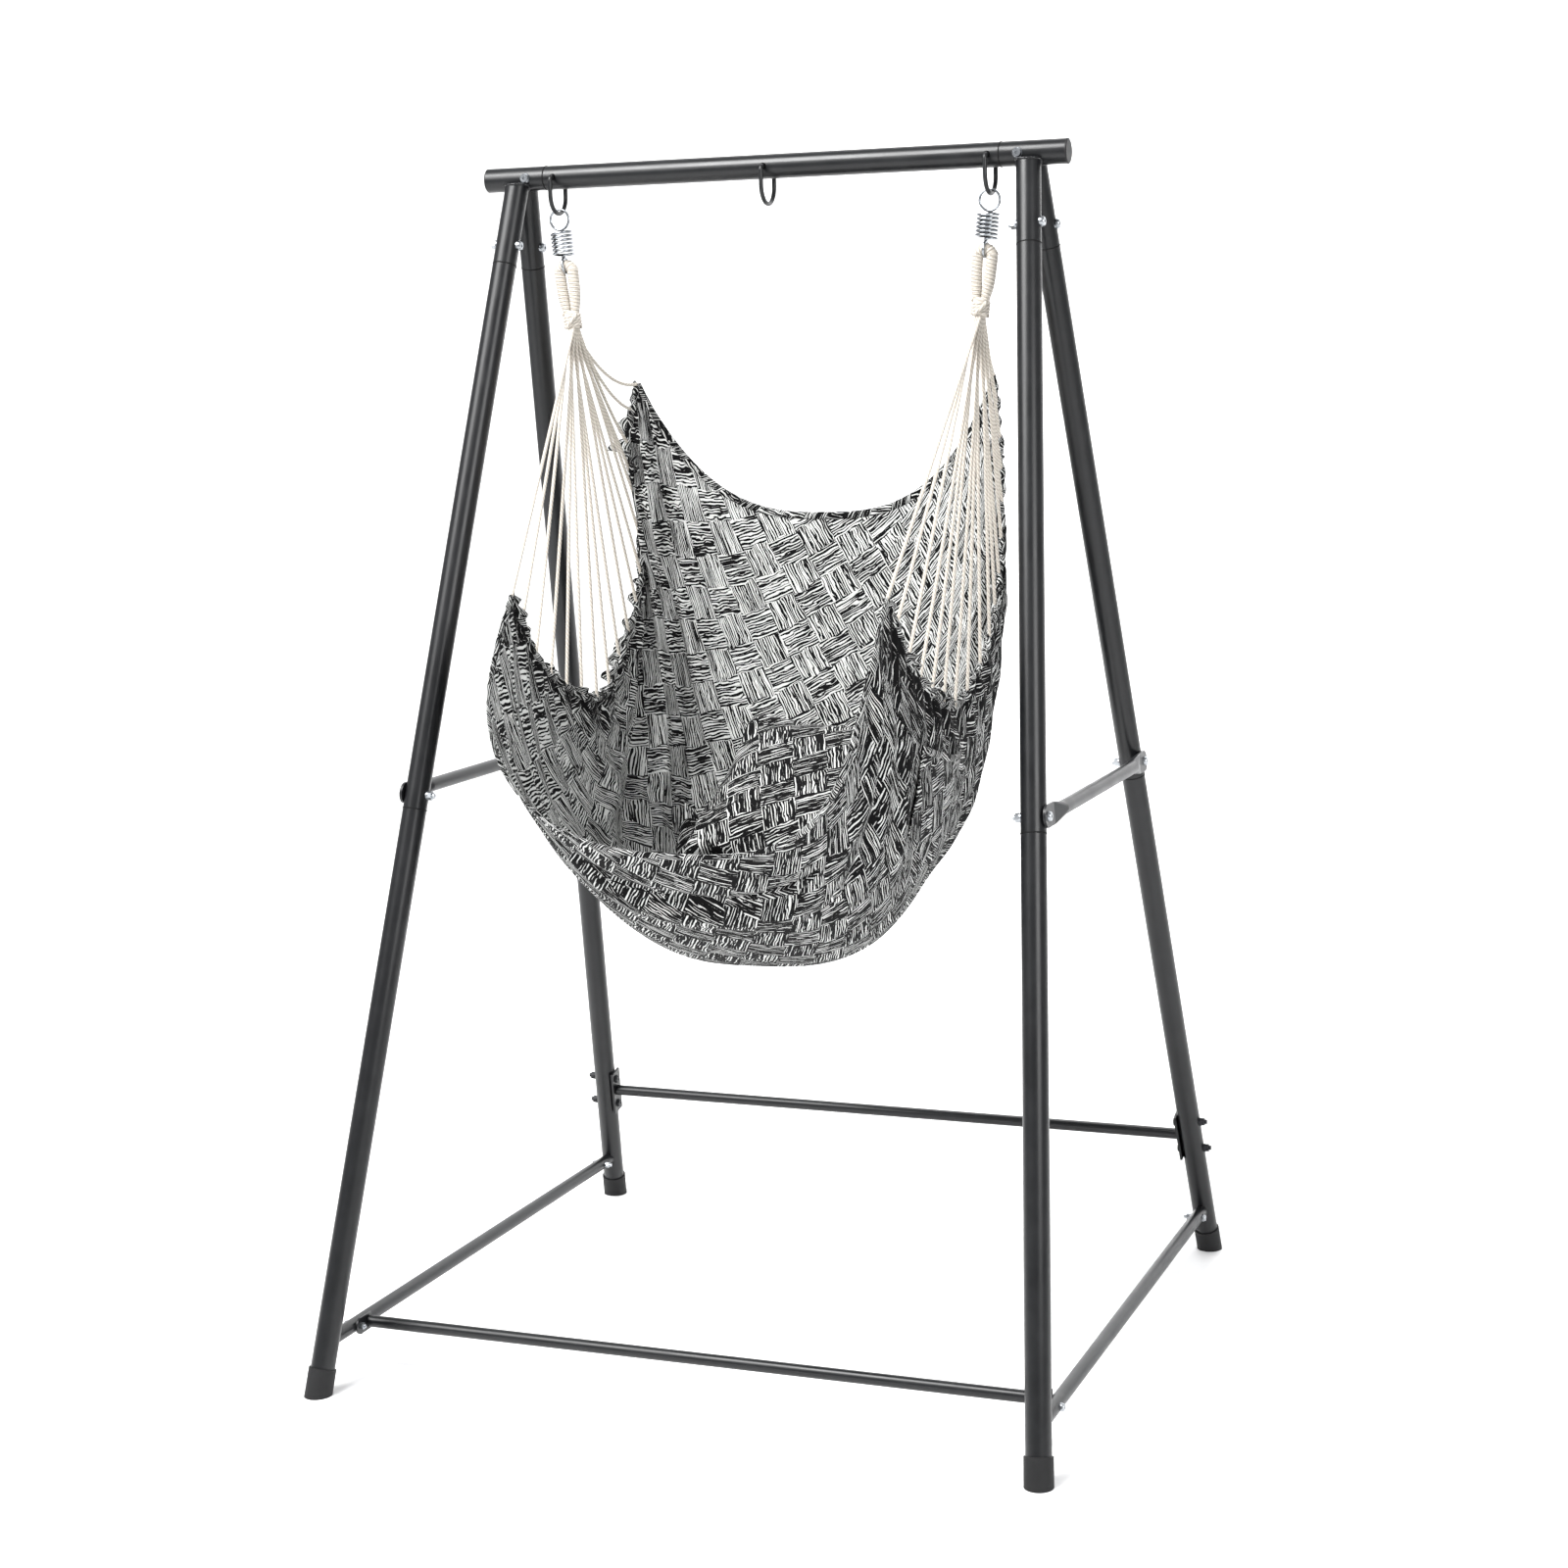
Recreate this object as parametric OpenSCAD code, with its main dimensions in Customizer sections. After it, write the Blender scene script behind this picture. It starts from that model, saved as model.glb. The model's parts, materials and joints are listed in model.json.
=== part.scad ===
// Hanging hammock chair on a four-legged A-frame stand of bolted steel tube.
// Origin on the floor under the middle of the stand, +Z up, the seat faces -Y.

/* [Frame] */
// Outside diameter of the beam, the connectors and the legs
tube_d = 38; // [34:0.5:46]
// Wall of every frame tube
tube_wall = 2; // [1.5:0.1:2.5]
// Height of the beam's axis above the floor
beam_z = 1862; // [1550:1:2240]
// Half the distance between the seams of the beam
beam_half = 379; // [315:1:455]
// Length of a connector from its seam to its outer end
connector_len = 102; // [92:1:123]
// How far the feet stand out sideways from the middle
foot_x = 575.5; // [479:0.5:691]
// How far the feet stand out to the front and back
foot_y = 553; // [460:1:664]
// How far the leg axes stand in front of and behind the beam's axis at its height
leg_top_y = 12; // [10:1:16]
// Length of a connector's leg stub along the leg axis
stub_len = 143; // [120:1:172]
// Distance along the leg axis to the seam between the two halves of a leg
mid_seam = 1027; // [855:1:1233]

/* [Braces] */
// Diameter of the side braces and the side bars
bar_d = 22; // [18:0.5:26.5]
// Diameter of the front and back bars
cross_d = 19; // [15.5:0.5:23]
// Height of the mid brace bolts above the mid seam, along the leg
brace_rise = 24; // [21:1:40]
// Height of the side bars above the floor
base_z = 78; // [65:1:94]
// Distance from the front feet to the front seams of the side bars
front_seam = 135; // [120:1:162]
// Distance from the back feet to the back seams of the side bars
back_seam = 105; // [96:1:126]
// Height of the back bar above the floor
back_bar_z = 222; // [185:1:267]

/* [Hanging] */
// Distance of the two outer bails inboard of the beam's seams
bail_inset = 18; // [15:1:22]
// Rod diameter of the bails
bail_rod = 7; // [6:0.5:8]
// Depth of a bail below the beam's axis, to its rod's centre
bail_drop = 57; // [52:1:69]
// Lean of each spring and rope towards the middle, in degrees
hang_tilt = 6; // [3:0.5:8]
// Wire diameter of the springs
wire_d = 4; // [3:0.5:5]
// Mean radius of the spring coils
coil_r = 16; // [14:0.5:18]
// Number of turns of a spring
coil_turns = 6; // [4:1:7]
// Length of the coils between the two rings
coil_len = 40; // [36:1:50]
// Diameter of the rope of the eyes
eye_rope = 12; // [10:0.5:14.5]
// Length of an eye below its top
eye_len = 71; // [60:1:86]
// Diameter of the collar that binds the cords
collar_d = 28; // [27:1:34]
// Length of the collar
collar_len = 28; // [23:1:34]
// Diameter of the suspension cords
cord_d = 5.5; // [4:0.5:5.5]

/* [Seat] */
// Thickness of the seat fabric
cloth = 5; // [3:0.5:7]
// Thickness of the seat cushion at its middle
cushion_thick = 85; // [60:1:102]
// Width and height of the loose pillow
pillow_size = 310; // [258:1:340]
// Thickness of the loose pillow at its middle
pillow_thick = 110; // [90:1:132]

/* [Hidden] */
$fn = 48;

// Frame tubes
tube_r = tube_d / 2;
bore_r = tube_r - tube_wall;
swage_gap = 0.3;
swage_r = bore_r - swage_gap;
swage_bore_r = swage_r - tube_wall;
swage_len = 60;
leg_inset = 57;
leg_top_x = beam_half + connector_len - leg_inset;
leg_dx = foot_x - leg_top_x;
leg_dy = foot_y - leg_top_y;
leg_len = norm([leg_dx, leg_dy, beam_z]);
leg_pitch = asin(leg_dy / leg_len);
leg_splay = atan(leg_dx / beam_z);
stub_bore_from = 42;
stub_top_drop = 9.5;
foot_gap = 14;
cap_wall = 2.5;
cap_height = 42;
plug_lip = 3;
plug_depth = 15;
eps = 0.01;

// Fasteners: the bolts have button heads and curved saddle washers
m8 = 8;
m6 = 6;
hole_gap = 0.4;
saddle_gap = 0.05;
saddle_h = 1.5;
bolt_inset = 30;
stub_bolt_inset = 33;

// Braces
bar_r = bar_d / 2;
bar_wall = 1.5;
flat_t = 4;
flat_w = 33;
flat_taper = 44;
brace_d = mid_seam - brace_rise;
base_front = foot_y - front_seam;
base_back = foot_y - back_seam;
bar_swage_len = 42;
tab_t = 3;
tab_w = 26;
tab_bolt_inset = 30;
front_bar_inset = 6;
bracket_t = 4;
bracket_w = 30;
bracket_h = 84;
bracket_pitch = 52;

// Hanging parts, measured down the leaning line from where the ring bears on the bail
bail_x = beam_half - bail_inset;
bail_arm_y = 28;
bail_bend = 7;
bail_pin_in = 12;
bail_hole_d = 10;
rod_r = bail_rod / 2;
wire_r = wire_d / 2;
ring_gap = 1;
bear_z = beam_z - bail_drop + rod_r + ring_gap / 2;
ring_r = coil_r;
top_ring_at = ring_r - wire_r - ring_gap / 2;
coil_from = top_ring_at + ring_r + wire_r + 0.5;
coil_to = coil_from + coil_len;
low_ring_r = 12;
low_ring_at = coil_to + 0.5 + wire_r + low_ring_r;
eye_r = 14;
eye_gap = 0.3;
eye_top = low_ring_at + low_ring_r - wire_r - eye_gap - eye_rope / 2;
eye_foot_x = (collar_d - eye_rope) / 2 - 1;
collar_from = eye_top + eye_len;
collar_to = collar_from + collar_len;
cord_count = 18;
cord_rows = 3;
cord_squeeze = 0.72;
cord_pitch = cord_squeeze * cord_d;
cord_end_gap = 7;
// Sag at the middle of the rearmost cords on the left, which carry nothing
slack_sag = [28, 26, 14];

// The collars' lower ends
knot_x = bail_x - collar_to * sin(hang_tilt);
knot_z = bear_z - collar_to * cos(hang_tilt);

// The seat is one sheet. Down the sheet from the back hem to the front hem run the side
// edge, which the cords hold, as [inset from the collar, y, depth below it], and the
// middle line as [y, depth below the collars].
edge_line = [
  [31, 175, 89], [17, 160, 195], [23, 186, 310], [27, 170, 425], [27, 98, 520],
  [36, -15, 593], [37, -135, 568], [38, -250, 505], [41, -338, 403]
];
middle_line = [
  [219, 312], [226, 470], [218, 620], [188, 770], [118, 900],
  [5, 982], [-130, 1002], [-290, 915], [-425, 775]
];
// Roundness of the section across the sheet: near 1 it hangs like a chain, at 3 it is a squarish U
sag_round = [1.1, 1.3, 1.6, 1.9, 2.1, 2.2, 2.3, 2.6, 3];
width_round = 2.8;
side_bulge = 0.03;
front_bulge = 70;
seat_across = 28;
seat_along = 26;
cushion_clear = 4;
pillow_side = 0.173;
pillow_y = -172;
pillow_depth = 950;
pillow_lean = 53;
pillow_turn = -6;
pillow_pinch = 0.06;

// Points and curves
function unit(v) = v / norm(v);
function bend(p, i, t) =
  let (
    last = len(p) - 1,
    a = p[max(i - 1, 0)],
    b = p[i],
    c = p[min(i + 1, last)],
    d = p[min(i + 2, last)],
    slope = (c - a) / 2,
    square = a - 2.5 * b + 2 * c - d / 2,
    cube = (3 * b - 3 * c + d - a) / 2
  )
  b + t * slope + t * t * square + t * t * t * cube;
function along(p, v) =
  let (s = v * (len(p) - 1), i = min(floor(s), len(p) - 2))
  bend(p, i, s - i);
function leg_point(sx, sy, d) =
  let (share = d / leg_len)
  [sx * (leg_top_x + leg_dx * share), sy * (leg_top_y + leg_dy * share), beam_z * (1 - share)];
function leg_reach(z) = leg_len * (beam_z - z) / beam_z;

// The side edge at the right, v from 0 at the back hem to 1 at the front hem
function edge(v) =
  let (e = along(edge_line, v))
  [knot_x - e.x, e.y, knot_z - e.z];

// The seat's middle surface, u from -1 to 1 across and v from 0 at the back hem to 1 at the front
function seat(u, v) =
  let (
    e = edge(v),
    m = along(middle_line, v),
    low = knot_z - m[1],
    turn = 90 * (1 - abs(u)),
    reach = pow(cos(turn), 2 / width_round),
    sag = pow(sin(turn), 2 / along(sag_round, v)),
    swell = sin(180 * sag),
    wide = e.x * reach * (1 + side_bulge * sin(180 * v) * swell),
    front = front_bulge * pow(v, 5) * swell
  )
  [sign(u) * wide, e.y + (m[0] - e.y) * sag - front, e.z + (low - e.z) * sag];
function seat_normal(u, v) =
  let (
    du = 0.02, dv = 0.01,
    u0 = max(u - du, -1), u1 = min(u + du, 1),
    v0 = max(v - dv, 0), v1 = min(v + dv, 1)
  )
  unit(cross(seat(u, v1) - seat(u, v0), seat(u1, v) - seat(u0, v)));
function seat_off(u, v, off) = seat(u, v) + off * seat_normal(u, v);

// Closed solid between two grids of points with the same rows and columns
module slab(low, high) {
  rows = len(low);
  cols = len(low[0]);
  n = rows * cols;
  faces_low = [for (i = [0:rows - 2]) for (j = [0:cols - 2])
    for (f = [[0, 1, cols + 1], [0, cols + 1, cols]]) [for (k = f) i * cols + j + k]];
  faces_high = [for (f = faces_low) [f[2] + n, f[1] + n, f[0] + n]];
  rim = concat(
    [for (j = [0:cols - 1]) j],
    [for (i = [1:rows - 1]) i * cols + cols - 1],
    [for (j = [cols - 2:-1:0]) (rows - 1) * cols + j],
    [for (i = [rows - 2:-1:1]) i * cols]
  );
  m = len(rim);
  sides = [for (k = [0:m - 1]) for (f = [
    [rim[k], rim[k] + n, rim[(k + 1) % m] + n],
    [rim[k], rim[(k + 1) % m] + n, rim[(k + 1) % m]]
  ]) f];
  points = concat([for (r = low) each r], [for (r = high) each r]);
  polyhedron(points, concat(faces_low, faces_high, sides));
}

// Round bar of radius r along a path that lies near the plane normal to flat
module sweep(path, r, sides, flat, closed = false) {
  n = len(path);
  last = n - 1;
  rings = [for (i = [0:last])
    let (
      ahead = path[closed ? (i + 1) % n : min(i + 1, last)],
      back = path[closed ? (i + n - 1) % n : max(i - 1, 0)],
      dir = unit(ahead - back),
      a = unit(cross(flat, dir)),
      b = cross(dir, a)
    )
    for (k = [0:sides - 1]) path[i] + r * (cos(360 * k / sides) * a + sin(360 * k / sides) * b)];
  walls = [for (i = [0:closed ? last : last - 1]) for (k = [0:sides - 1])
    let (j = ((i + 1) % n) * sides, s = i * sides, k1 = (k + 1) % sides)
    each [[s + k, j + k, j + k1], [s + k, j + k1, s + k1]]];
  first_end = [for (k = [0:sides - 1]) k];
  last_end = [for (k = [sides - 1:-1:0]) last * sides + k];
  ends = closed ? [] : [first_end, last_end];
  polyhedron(rings, concat(walls, ends));
}

module rod(a, b, r) {
  d = b - a;
  translate(a) rotate([0, acos(d.z / norm(d)), atan2(d.y, d.x)]) cylinder(r = r, h = norm(d));
}

module x_bar(r, from, to) {
  translate([from, 0, 0]) rotate([0, 90, 0]) cylinder(r = r, h = to - from);
}

module y_bar(r, from, to) {
  translate([0, to, 0]) rotate([90, 0, 0]) cylinder(r = r, h = to - from);
}

// Places things on a leg: their -Z runs down the leg axis from a point d along it
module on_leg(sx, sy, d) {
  translate(leg_point(sx, sy, d)) rotate([sy * leg_pitch, -sx * leg_splay, 0]) children();
}

// A leg tube from one distance to another, with a swaged end above it
module leg_tube(sx, sy, from, to, bolt_at) {
  on_leg(sx, sy, 0) difference() {
    union() {
      translate([0, 0, -to]) cylinder(r = tube_r, h = to - from);
      translate([0, 0, -from - eps]) cylinder(r = swage_r, h = swage_len);
    }
    translate([0, 0, -to - 1]) cylinder(r = bore_r, h = to - from - 20);
    translate([0, 0, -from - 30]) cylinder(r = swage_bore_r, h = swage_len + 31);
    for (d = bolt_at) translate([0, 0, -d]) x_bar((m8 + hole_gap) / 2, -tube_r - 1, tube_r + 1);
  }
}

// Button-head bolt across a tube of radius r: the head is at +X past a plate, or past a
// curved washer where there is no plate
module bolt(size, r, plate, tail) {
  head_at = r + plate + (plate > 0 ? 0 : saddle_h);
  head_r = size * 0.95;
  head_h = size * 0.55;
  washer_r = head_r + 0.5;
  x_bar(size / 2, -tail, head_at + 1);
  difference() {
    union() {
      translate([head_at, 0, 0]) rotate([0, 90, 0]) rotate_extrude() intersection() {
        circle(r = head_r);
        square([head_r, head_h]);
      }
      if (plate == 0) x_bar(washer_r, r - saddle_h - 1, head_at + eps);
    }
    if (plate == 0) cylinder(r = r + saddle_gap, h = 4 * r, center = true);
    translate([head_at + size * 0.25, 0, 0]) rotate([0, 90, 0]) cylinder(r = size * 0.32, h = size, $fn = 6);
  }
}

// Hex nut on the bolt's tail, with its curved washer against a tube of radius r, past a plate
module nut(size, r, plate) {
  nut_at = r + plate + (plate > 0 ? 0 : saddle_h);
  nut_h = size * 0.8;
  difference() {
    union() {
      translate([-nut_at - nut_h, 0, 0]) rotate([0, 90, 0]) cylinder(r = size * 0.92, h = nut_h, $fn = 6);
      if (plate == 0) x_bar(size * 0.9, -nut_at - eps, -r + saddle_h + 1);
    }
    if (plate == 0) cylinder(r = r + saddle_gap, h = 4 * r, center = true);
    x_bar(size / 2 + 0.05, -nut_at - size, 0);
  }
}

module beam() {
  color("#2b2c2e") translate([0, 0, beam_z]) difference() {
    union() {
      x_bar(tube_r, -beam_half, beam_half);
      x_bar(swage_r, -beam_half - swage_len, beam_half + swage_len);
    }
    x_bar(swage_bore_r, -beam_half - swage_len - 1, beam_half + swage_len + 1);
    for (x = [-bail_x, 0, bail_x]) translate([x, 0, 0]) y_bar(bail_hole_d / 2, -tube_d, tube_d);
    for (s = [-1, 1]) translate([s * (beam_half + bolt_inset), 0, 0])
      y_bar((m8 + hole_gap) / 2, -tube_d, tube_d);
  }
}

module connector(sx) {
  outer = beam_half + connector_len;
  color("#2b2c2e") difference() {
    union() {
      translate([0, 0, beam_z]) x_bar(tube_r, sx > 0 ? beam_half : -outer, sx > 0 ? outer : -beam_half);
      difference() {
        for (sy = [-1, 1]) on_leg(sx, sy, stub_len) cylinder(r = tube_r, h = stub_len);
        translate([sx * leg_top_x, 0, beam_z - stub_top_drop + tube_d]) cube(2 * tube_d, center = true);
      }
    }
    translate([0, 0, beam_z]) x_bar(bore_r, sx > 0 ? 0 : -outer - 1, sx > 0 ? outer + 1 : 0);
    for (sy = [-1, 1]) on_leg(sx, sy, stub_len) {
      translate([0, 0, -1]) cylinder(r = bore_r, h = stub_len - stub_bore_from);
      translate([0, 0, stub_bolt_inset]) x_bar((m8 + hole_gap) / 2, -tube_d, tube_d);
    }
    translate([sx * (beam_half + bolt_inset), 0, beam_z]) y_bar((m8 + hole_gap) / 2, -tube_d, tube_d);
  }
}

module beam_plug(sx) {
  outer = beam_half + connector_len;
  color("#17181a") translate([sx * outer, 0, beam_z]) mirror([sx > 0 ? 0 : 1, 0, 0]) difference() {
    union() {
      x_bar(bore_r - 0.1, -plug_depth, eps);
      x_bar(tube_r, 0, plug_lip - 1);
      translate([plug_lip - 1 - eps, 0, 0]) rotate([0, 90, 0]) cylinder(r1 = tube_r, r2 = tube_r - 2, h = 1);
    }
    x_bar(bore_r - 2, -plug_depth - 1, -2);
  }
}

module upper_leg(sx, sy) {
  color("#2b2c2e")
    leg_tube(sx, sy, stub_len, mid_seam, [stub_len - stub_bolt_inset, brace_d]);
}

// The lower half of a leg carries the short welded stub of its side bar and, at the back, two bracket holes
module lower_leg(sx, sy) {
  foot = leg_point(sx, sy, leg_reach(base_z));
  stub_to = sy < 0 ? -base_front : base_back;
  bore_to = stub_to + sy * bar_swage_len;
  bore_from = stub_to - sy;
  bracket_d = leg_reach(back_bar_z);
  color("#2b2c2e") difference() {
    union() {
      on_leg(sx, sy, leg_len - foot_gap) cylinder(r = tube_r, h = leg_len - foot_gap - mid_seam);
      on_leg(sx, sy, mid_seam) translate([0, 0, -eps]) cylinder(r = swage_r, h = swage_len);
      translate([foot.x, 0, base_z]) y_bar(bar_r, min(foot.y, stub_to), max(foot.y, stub_to));
    }
    on_leg(sx, sy, 0) {
      translate([0, 0, -leg_len]) cylinder(r = bore_r, h = leg_len - mid_seam - 20);
      translate([0, 0, -mid_seam - 30]) cylinder(r = swage_bore_r, h = swage_len + 31);
      translate([0, 0, -brace_d]) x_bar((m8 + hole_gap) / 2, -tube_d, tube_d);
      if (sy > 0) for (k = [-0.5, 0.5]) translate([0, 0, -bracket_d + k * bracket_pitch])
        x_bar((m8 + hole_gap) / 2, -tube_d, tube_d);
    }
    translate([foot.x, 0, base_z]) y_bar(bar_r - tube_wall, min(bore_from, bore_to), max(bore_from, bore_to));
    translate([foot.x, stub_to + sy * tab_bolt_inset, base_z]) x_bar((m6 + hole_gap) / 2, -bar_d, bar_d);
  }
}

module foot_cap(sx, sy) {
  color("#17181a") intersection() {
    on_leg(sx, sy, leg_len) difference() {
      translate([0, 0, -cap_height]) cylinder(r = tube_r + cap_wall, h = 2 * cap_height);
      translate([0, 0, foot_gap]) cylinder(r = tube_r + 0.05, h = cap_height);
    }
    translate([sx * foot_x - 100, sy * foot_y - 100, 0]) cube([200, 200, 200]);
  }
}

module mid_brace(sx) {
  at = leg_point(sx, 1, brace_d);
  round_to = at.y - flat_w;
  full_to = round_to - flat_taper;
  flat_at = (round_to + at.y) / 2;
  color("#6a6b6c") translate([at.x, 0, at.z]) rotate([0, -sx * leg_splay, 0])
    translate([sx * (tube_r + flat_t / 2), 0, 0]) difference() {
      union() {
        y_bar(bar_r, -full_to, full_to);
        for (s = [-1, 1]) {
          hull() {
            translate([0, s * (full_to - 0.5), 0]) y_bar(bar_r - 0.05, -1, 1, $fn = 32);
            translate([0, s * round_to, 0]) cube([flat_t, 2, flat_w], center = true);
          }
          translate([0, s * flat_at, 0]) cube([flat_t, at.y - round_to + 1, flat_w], center = true);
          translate([0, s * at.y, 0]) x_bar(flat_w / 2 + 0.4, -flat_t / 2, flat_t / 2);
        }
      }
      y_bar(bar_r - bar_wall, 8 - full_to, full_to - 8);
      cube([0.4, 2 * at.y + 100, bar_d - 6], center = true);
      for (s = [-1, 1]) translate([0, s * at.y, 0]) x_bar((m8 + hole_gap) / 2, -bar_d, bar_d);
    }
}

module base_bar(sx) {
  x = leg_point(sx, 1, leg_reach(base_z)).x;
  color("#48494b") translate([x, 0, base_z]) difference() {
    union() {
      y_bar(bar_r, -base_front, base_back);
      y_bar(bar_r - tube_wall - swage_gap, -base_front - bar_swage_len + 1, base_back + bar_swage_len - 1);
    }
    y_bar(bar_r - 2 * tube_wall - swage_gap, -base_front - bar_swage_len, base_back + bar_swage_len);
    for (y = [-base_front - tab_bolt_inset, base_back + tab_bolt_inset]) translate([0, y, 0])
      x_bar((m6 + hole_gap) / 2, -bar_d, bar_d);
  }
}

// The front bar ends in welded tabs that bolt to the inner faces of the front stubs
module front_base_bar() {
  reach = leg_point(1, -1, leg_reach(base_z)).x - bar_r;
  bar_y = -base_front - front_bar_inset;
  bolt_y = -base_front - tab_bolt_inset;
  color("#2b2c2e") translate([0, 0, base_z]) difference() {
    union() {
      translate([0, bar_y, 0]) x_bar(cross_d / 2, -reach + 1, reach - 1);
      for (s = [-1, 1]) translate([s * (reach - tab_t / 2), 0, 0]) {
        translate([0, (bar_y + bolt_y) / 2 + cross_d / 4, 0])
          cube([tab_t, bar_y - bolt_y + cross_d / 2, tab_w], center = true);
        translate([0, bolt_y, 0]) x_bar(tab_w / 2 + 0.4, -tab_t / 2, tab_t / 2);
      }
    }
    translate([0, bar_y, 0]) x_bar(cross_d / 2 - bar_wall, -reach - 1, reach + 1);
    for (s = [-1, 1]) translate([s * reach, bolt_y, 0]) x_bar((m6 + hole_gap) / 2, -bar_d, bar_d);
  }
}

// The back bar is welded to upright plates that bolt to the inner faces of the back legs
module back_base_bar() {
  d = leg_reach(back_bar_z);
  at = leg_point(1, 1, d);
  plate_x = tube_r + bracket_t / 2;
  reach = at.x - (tube_r + bracket_t) / cos(leg_splay);
  color("#2b2c2e") difference() {
    union() {
      translate([0, at.y, at.z]) x_bar(cross_d / 2, -reach - bracket_t / 2, reach + bracket_t / 2);
      for (sx = [-1, 1]) on_leg(sx, 1, d)
        translate([-sx * plate_x, 0, 0]) cube([bracket_t, bracket_w, bracket_h], center = true);
    }
    translate([0, at.y, at.z]) x_bar(cross_d / 2 - bar_wall, -reach, reach);
    for (sx = [-1, 1]) on_leg(sx, 1, d) for (k = [-0.5, 0.5])
      translate([-sx * plate_x, 0, k * bracket_pitch]) x_bar((m8 + hole_gap) / 2, -bar_d, bar_d);
  }
}

// Runs its children at each joint of a kind, with the bolt head at their +X
module at_beam_joints() {
  for (sx = [-1, 1]) translate([sx * (beam_half + bolt_inset), 0, beam_z])
    rotate([90, 0, -90]) children();
}

module at_stub_joints() {
  for (sx = [-1, 1]) for (sy = [-1, 1]) on_leg(sx, sy, stub_len - stub_bolt_inset) children();
}

module at_brace_joints() {
  for (sx = [-1, 1]) for (sy = [-1, 1]) on_leg(sx, sy, brace_d)
    mirror([sx > 0 ? 0 : 1, 0, 0]) children();
}

module at_bracket_joints() {
  for (sx = [-1, 1]) for (k = [-0.5, 0.5]) on_leg(sx, 1, leg_reach(back_bar_z))
    translate([0, 0, k * bracket_pitch]) mirror([sx > 0 ? 1 : 0, 0, 0]) children();
}

module at_base_joints(sy) {
  foot = leg_point(1, 1, leg_reach(base_z));
  y = sy < 0 ? -base_front - tab_bolt_inset : base_back + tab_bolt_inset;
  for (sx = [-1, 1]) translate([sx * foot.x, y, base_z])
    mirror([sx > 0 ? 0 : 1, 0, 0]) rotate([90, 0, 0]) children();
}

module beam_bolts() { color("#c9cbce") at_beam_joints() bolt(m8, tube_r, 0, tube_r + 12); }
module beam_nuts() { color("#c9cbce") at_beam_joints() nut(m8, tube_r, 0); }
module stub_bolts() { color("#c9cbce") at_stub_joints() bolt(m8, tube_r, 0, tube_r + 12); }
module stub_nuts() { color("#c9cbce") at_stub_joints() nut(m8, tube_r, 0); }
module brace_bolts() { color("#c9cbce") at_brace_joints() bolt(m8, tube_r, flat_t, tube_r + 12); }
module brace_nuts() { color("#c9cbce") at_brace_joints() nut(m8, tube_r, 0); }
module bracket_bolts() { color("#c9cbce") at_bracket_joints() bolt(m8, tube_r, bracket_t, tube_r + 12); }
module bracket_nuts() { color("#c9cbce") at_bracket_joints() nut(m8, tube_r, 0); }

module base_bolts() {
  color("#c9cbce") for (sy = [-1, 1]) at_base_joints(sy) bolt(m6, bar_r, 0, bar_r + 11);
}

// The front pair of nuts bears on the tabs of the front bar, the back pair on the stubs
module base_nuts() {
  color("#c9cbce") {
    at_base_joints(-1) nut(m6, bar_r, tab_t);
    at_base_joints(1) nut(m6, bar_r, 0);
  }
}

// Bent rod that hangs on two pins in the front and back holes of the beam
module bail(x) {
  low_z = bail_drop - bail_arm_y;
  color("#2b2c2e") translate([x, 0, beam_z]) {
    for (s = [-1, 1]) mirror([0, s > 0 ? 0 : 1, 0]) {
      y_bar(rod_r, bail_pin_in, bail_arm_y - bail_bend);
      translate([0, bail_arm_y - bail_bend, -bail_bend]) rotate([90, 0, 90])
        rotate_extrude(angle = 90) translate([bail_bend, 0]) circle(r = rod_r, $fn = 32);
      translate([0, bail_arm_y, -low_z]) cylinder(r = rod_r, h = low_z - bail_bend);
    }
    translate([0, 0, -low_z]) rotate([90, 0, 90]) rotate_extrude(angle = 180, start = 180)
      translate([bail_arm_y, 0]) circle(r = rod_r, $fn = 32);
  }
}

// The line that a spring and its rope hang along, from where the ring bears on the bail
module hang(sx) {
  translate([sx * bail_x, 0, bear_z]) rotate([0, sx * hang_tilt, 0]) children();
}

function hang_point(sx, p) =
  let (c = cos(hang_tilt), s = sx * sin(hang_tilt))
  [sx * bail_x + p.x * c + p.z * s, p.y, bear_z - p.x * s + p.z * c];

module spring_top_ring(sx) {
  color("#b9bbbe") hang(sx) translate([0, 0, -top_ring_at]) rotate([90, 0, 0])
    rotate_extrude() translate([ring_r, 0]) circle(r = wire_r, $fn = 24);
}

module spring_coils(sx) {
  steps = 20;
  count = coil_turns * steps;
  rise = coil_len - wire_d;
  path = [for (i = [0:count]) let (a = 360 * i / steps)
    [coil_r * cos(a), coil_r * sin(a), -coil_to + wire_r + rise * i / count]];
  color("#b9bbbe") hang(sx) sweep(path, wire_r, 8, [0, 0, 1]);
}

module spring_bottom_ring(sx) {
  color("#b9bbbe") hang(sx) translate([0, 0, -low_ring_at]) rotate([90, 0, 90])
    rotate_extrude() translate([low_ring_r, 0]) circle(r = wire_r, $fn = 24);
}

module rope_eye(sx) {
  over = [for (a = [0:15:180]) [eye_r * cos(a), 0, -eye_top - eye_r + eye_r * sin(a)]];
  waist = [eye_r - 2, 0, -eye_top - 0.58 * eye_len];
  foot = [eye_foot_x, 0, -collar_from];
  path = concat([foot, waist], over, [[-waist.x, 0, waist.z], [-foot.x, 0, foot.z]]);
  color("#ede8df") hang(sx) sweep(path, eye_rope / 2, 12, [0, 1, 0]);
}

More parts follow.
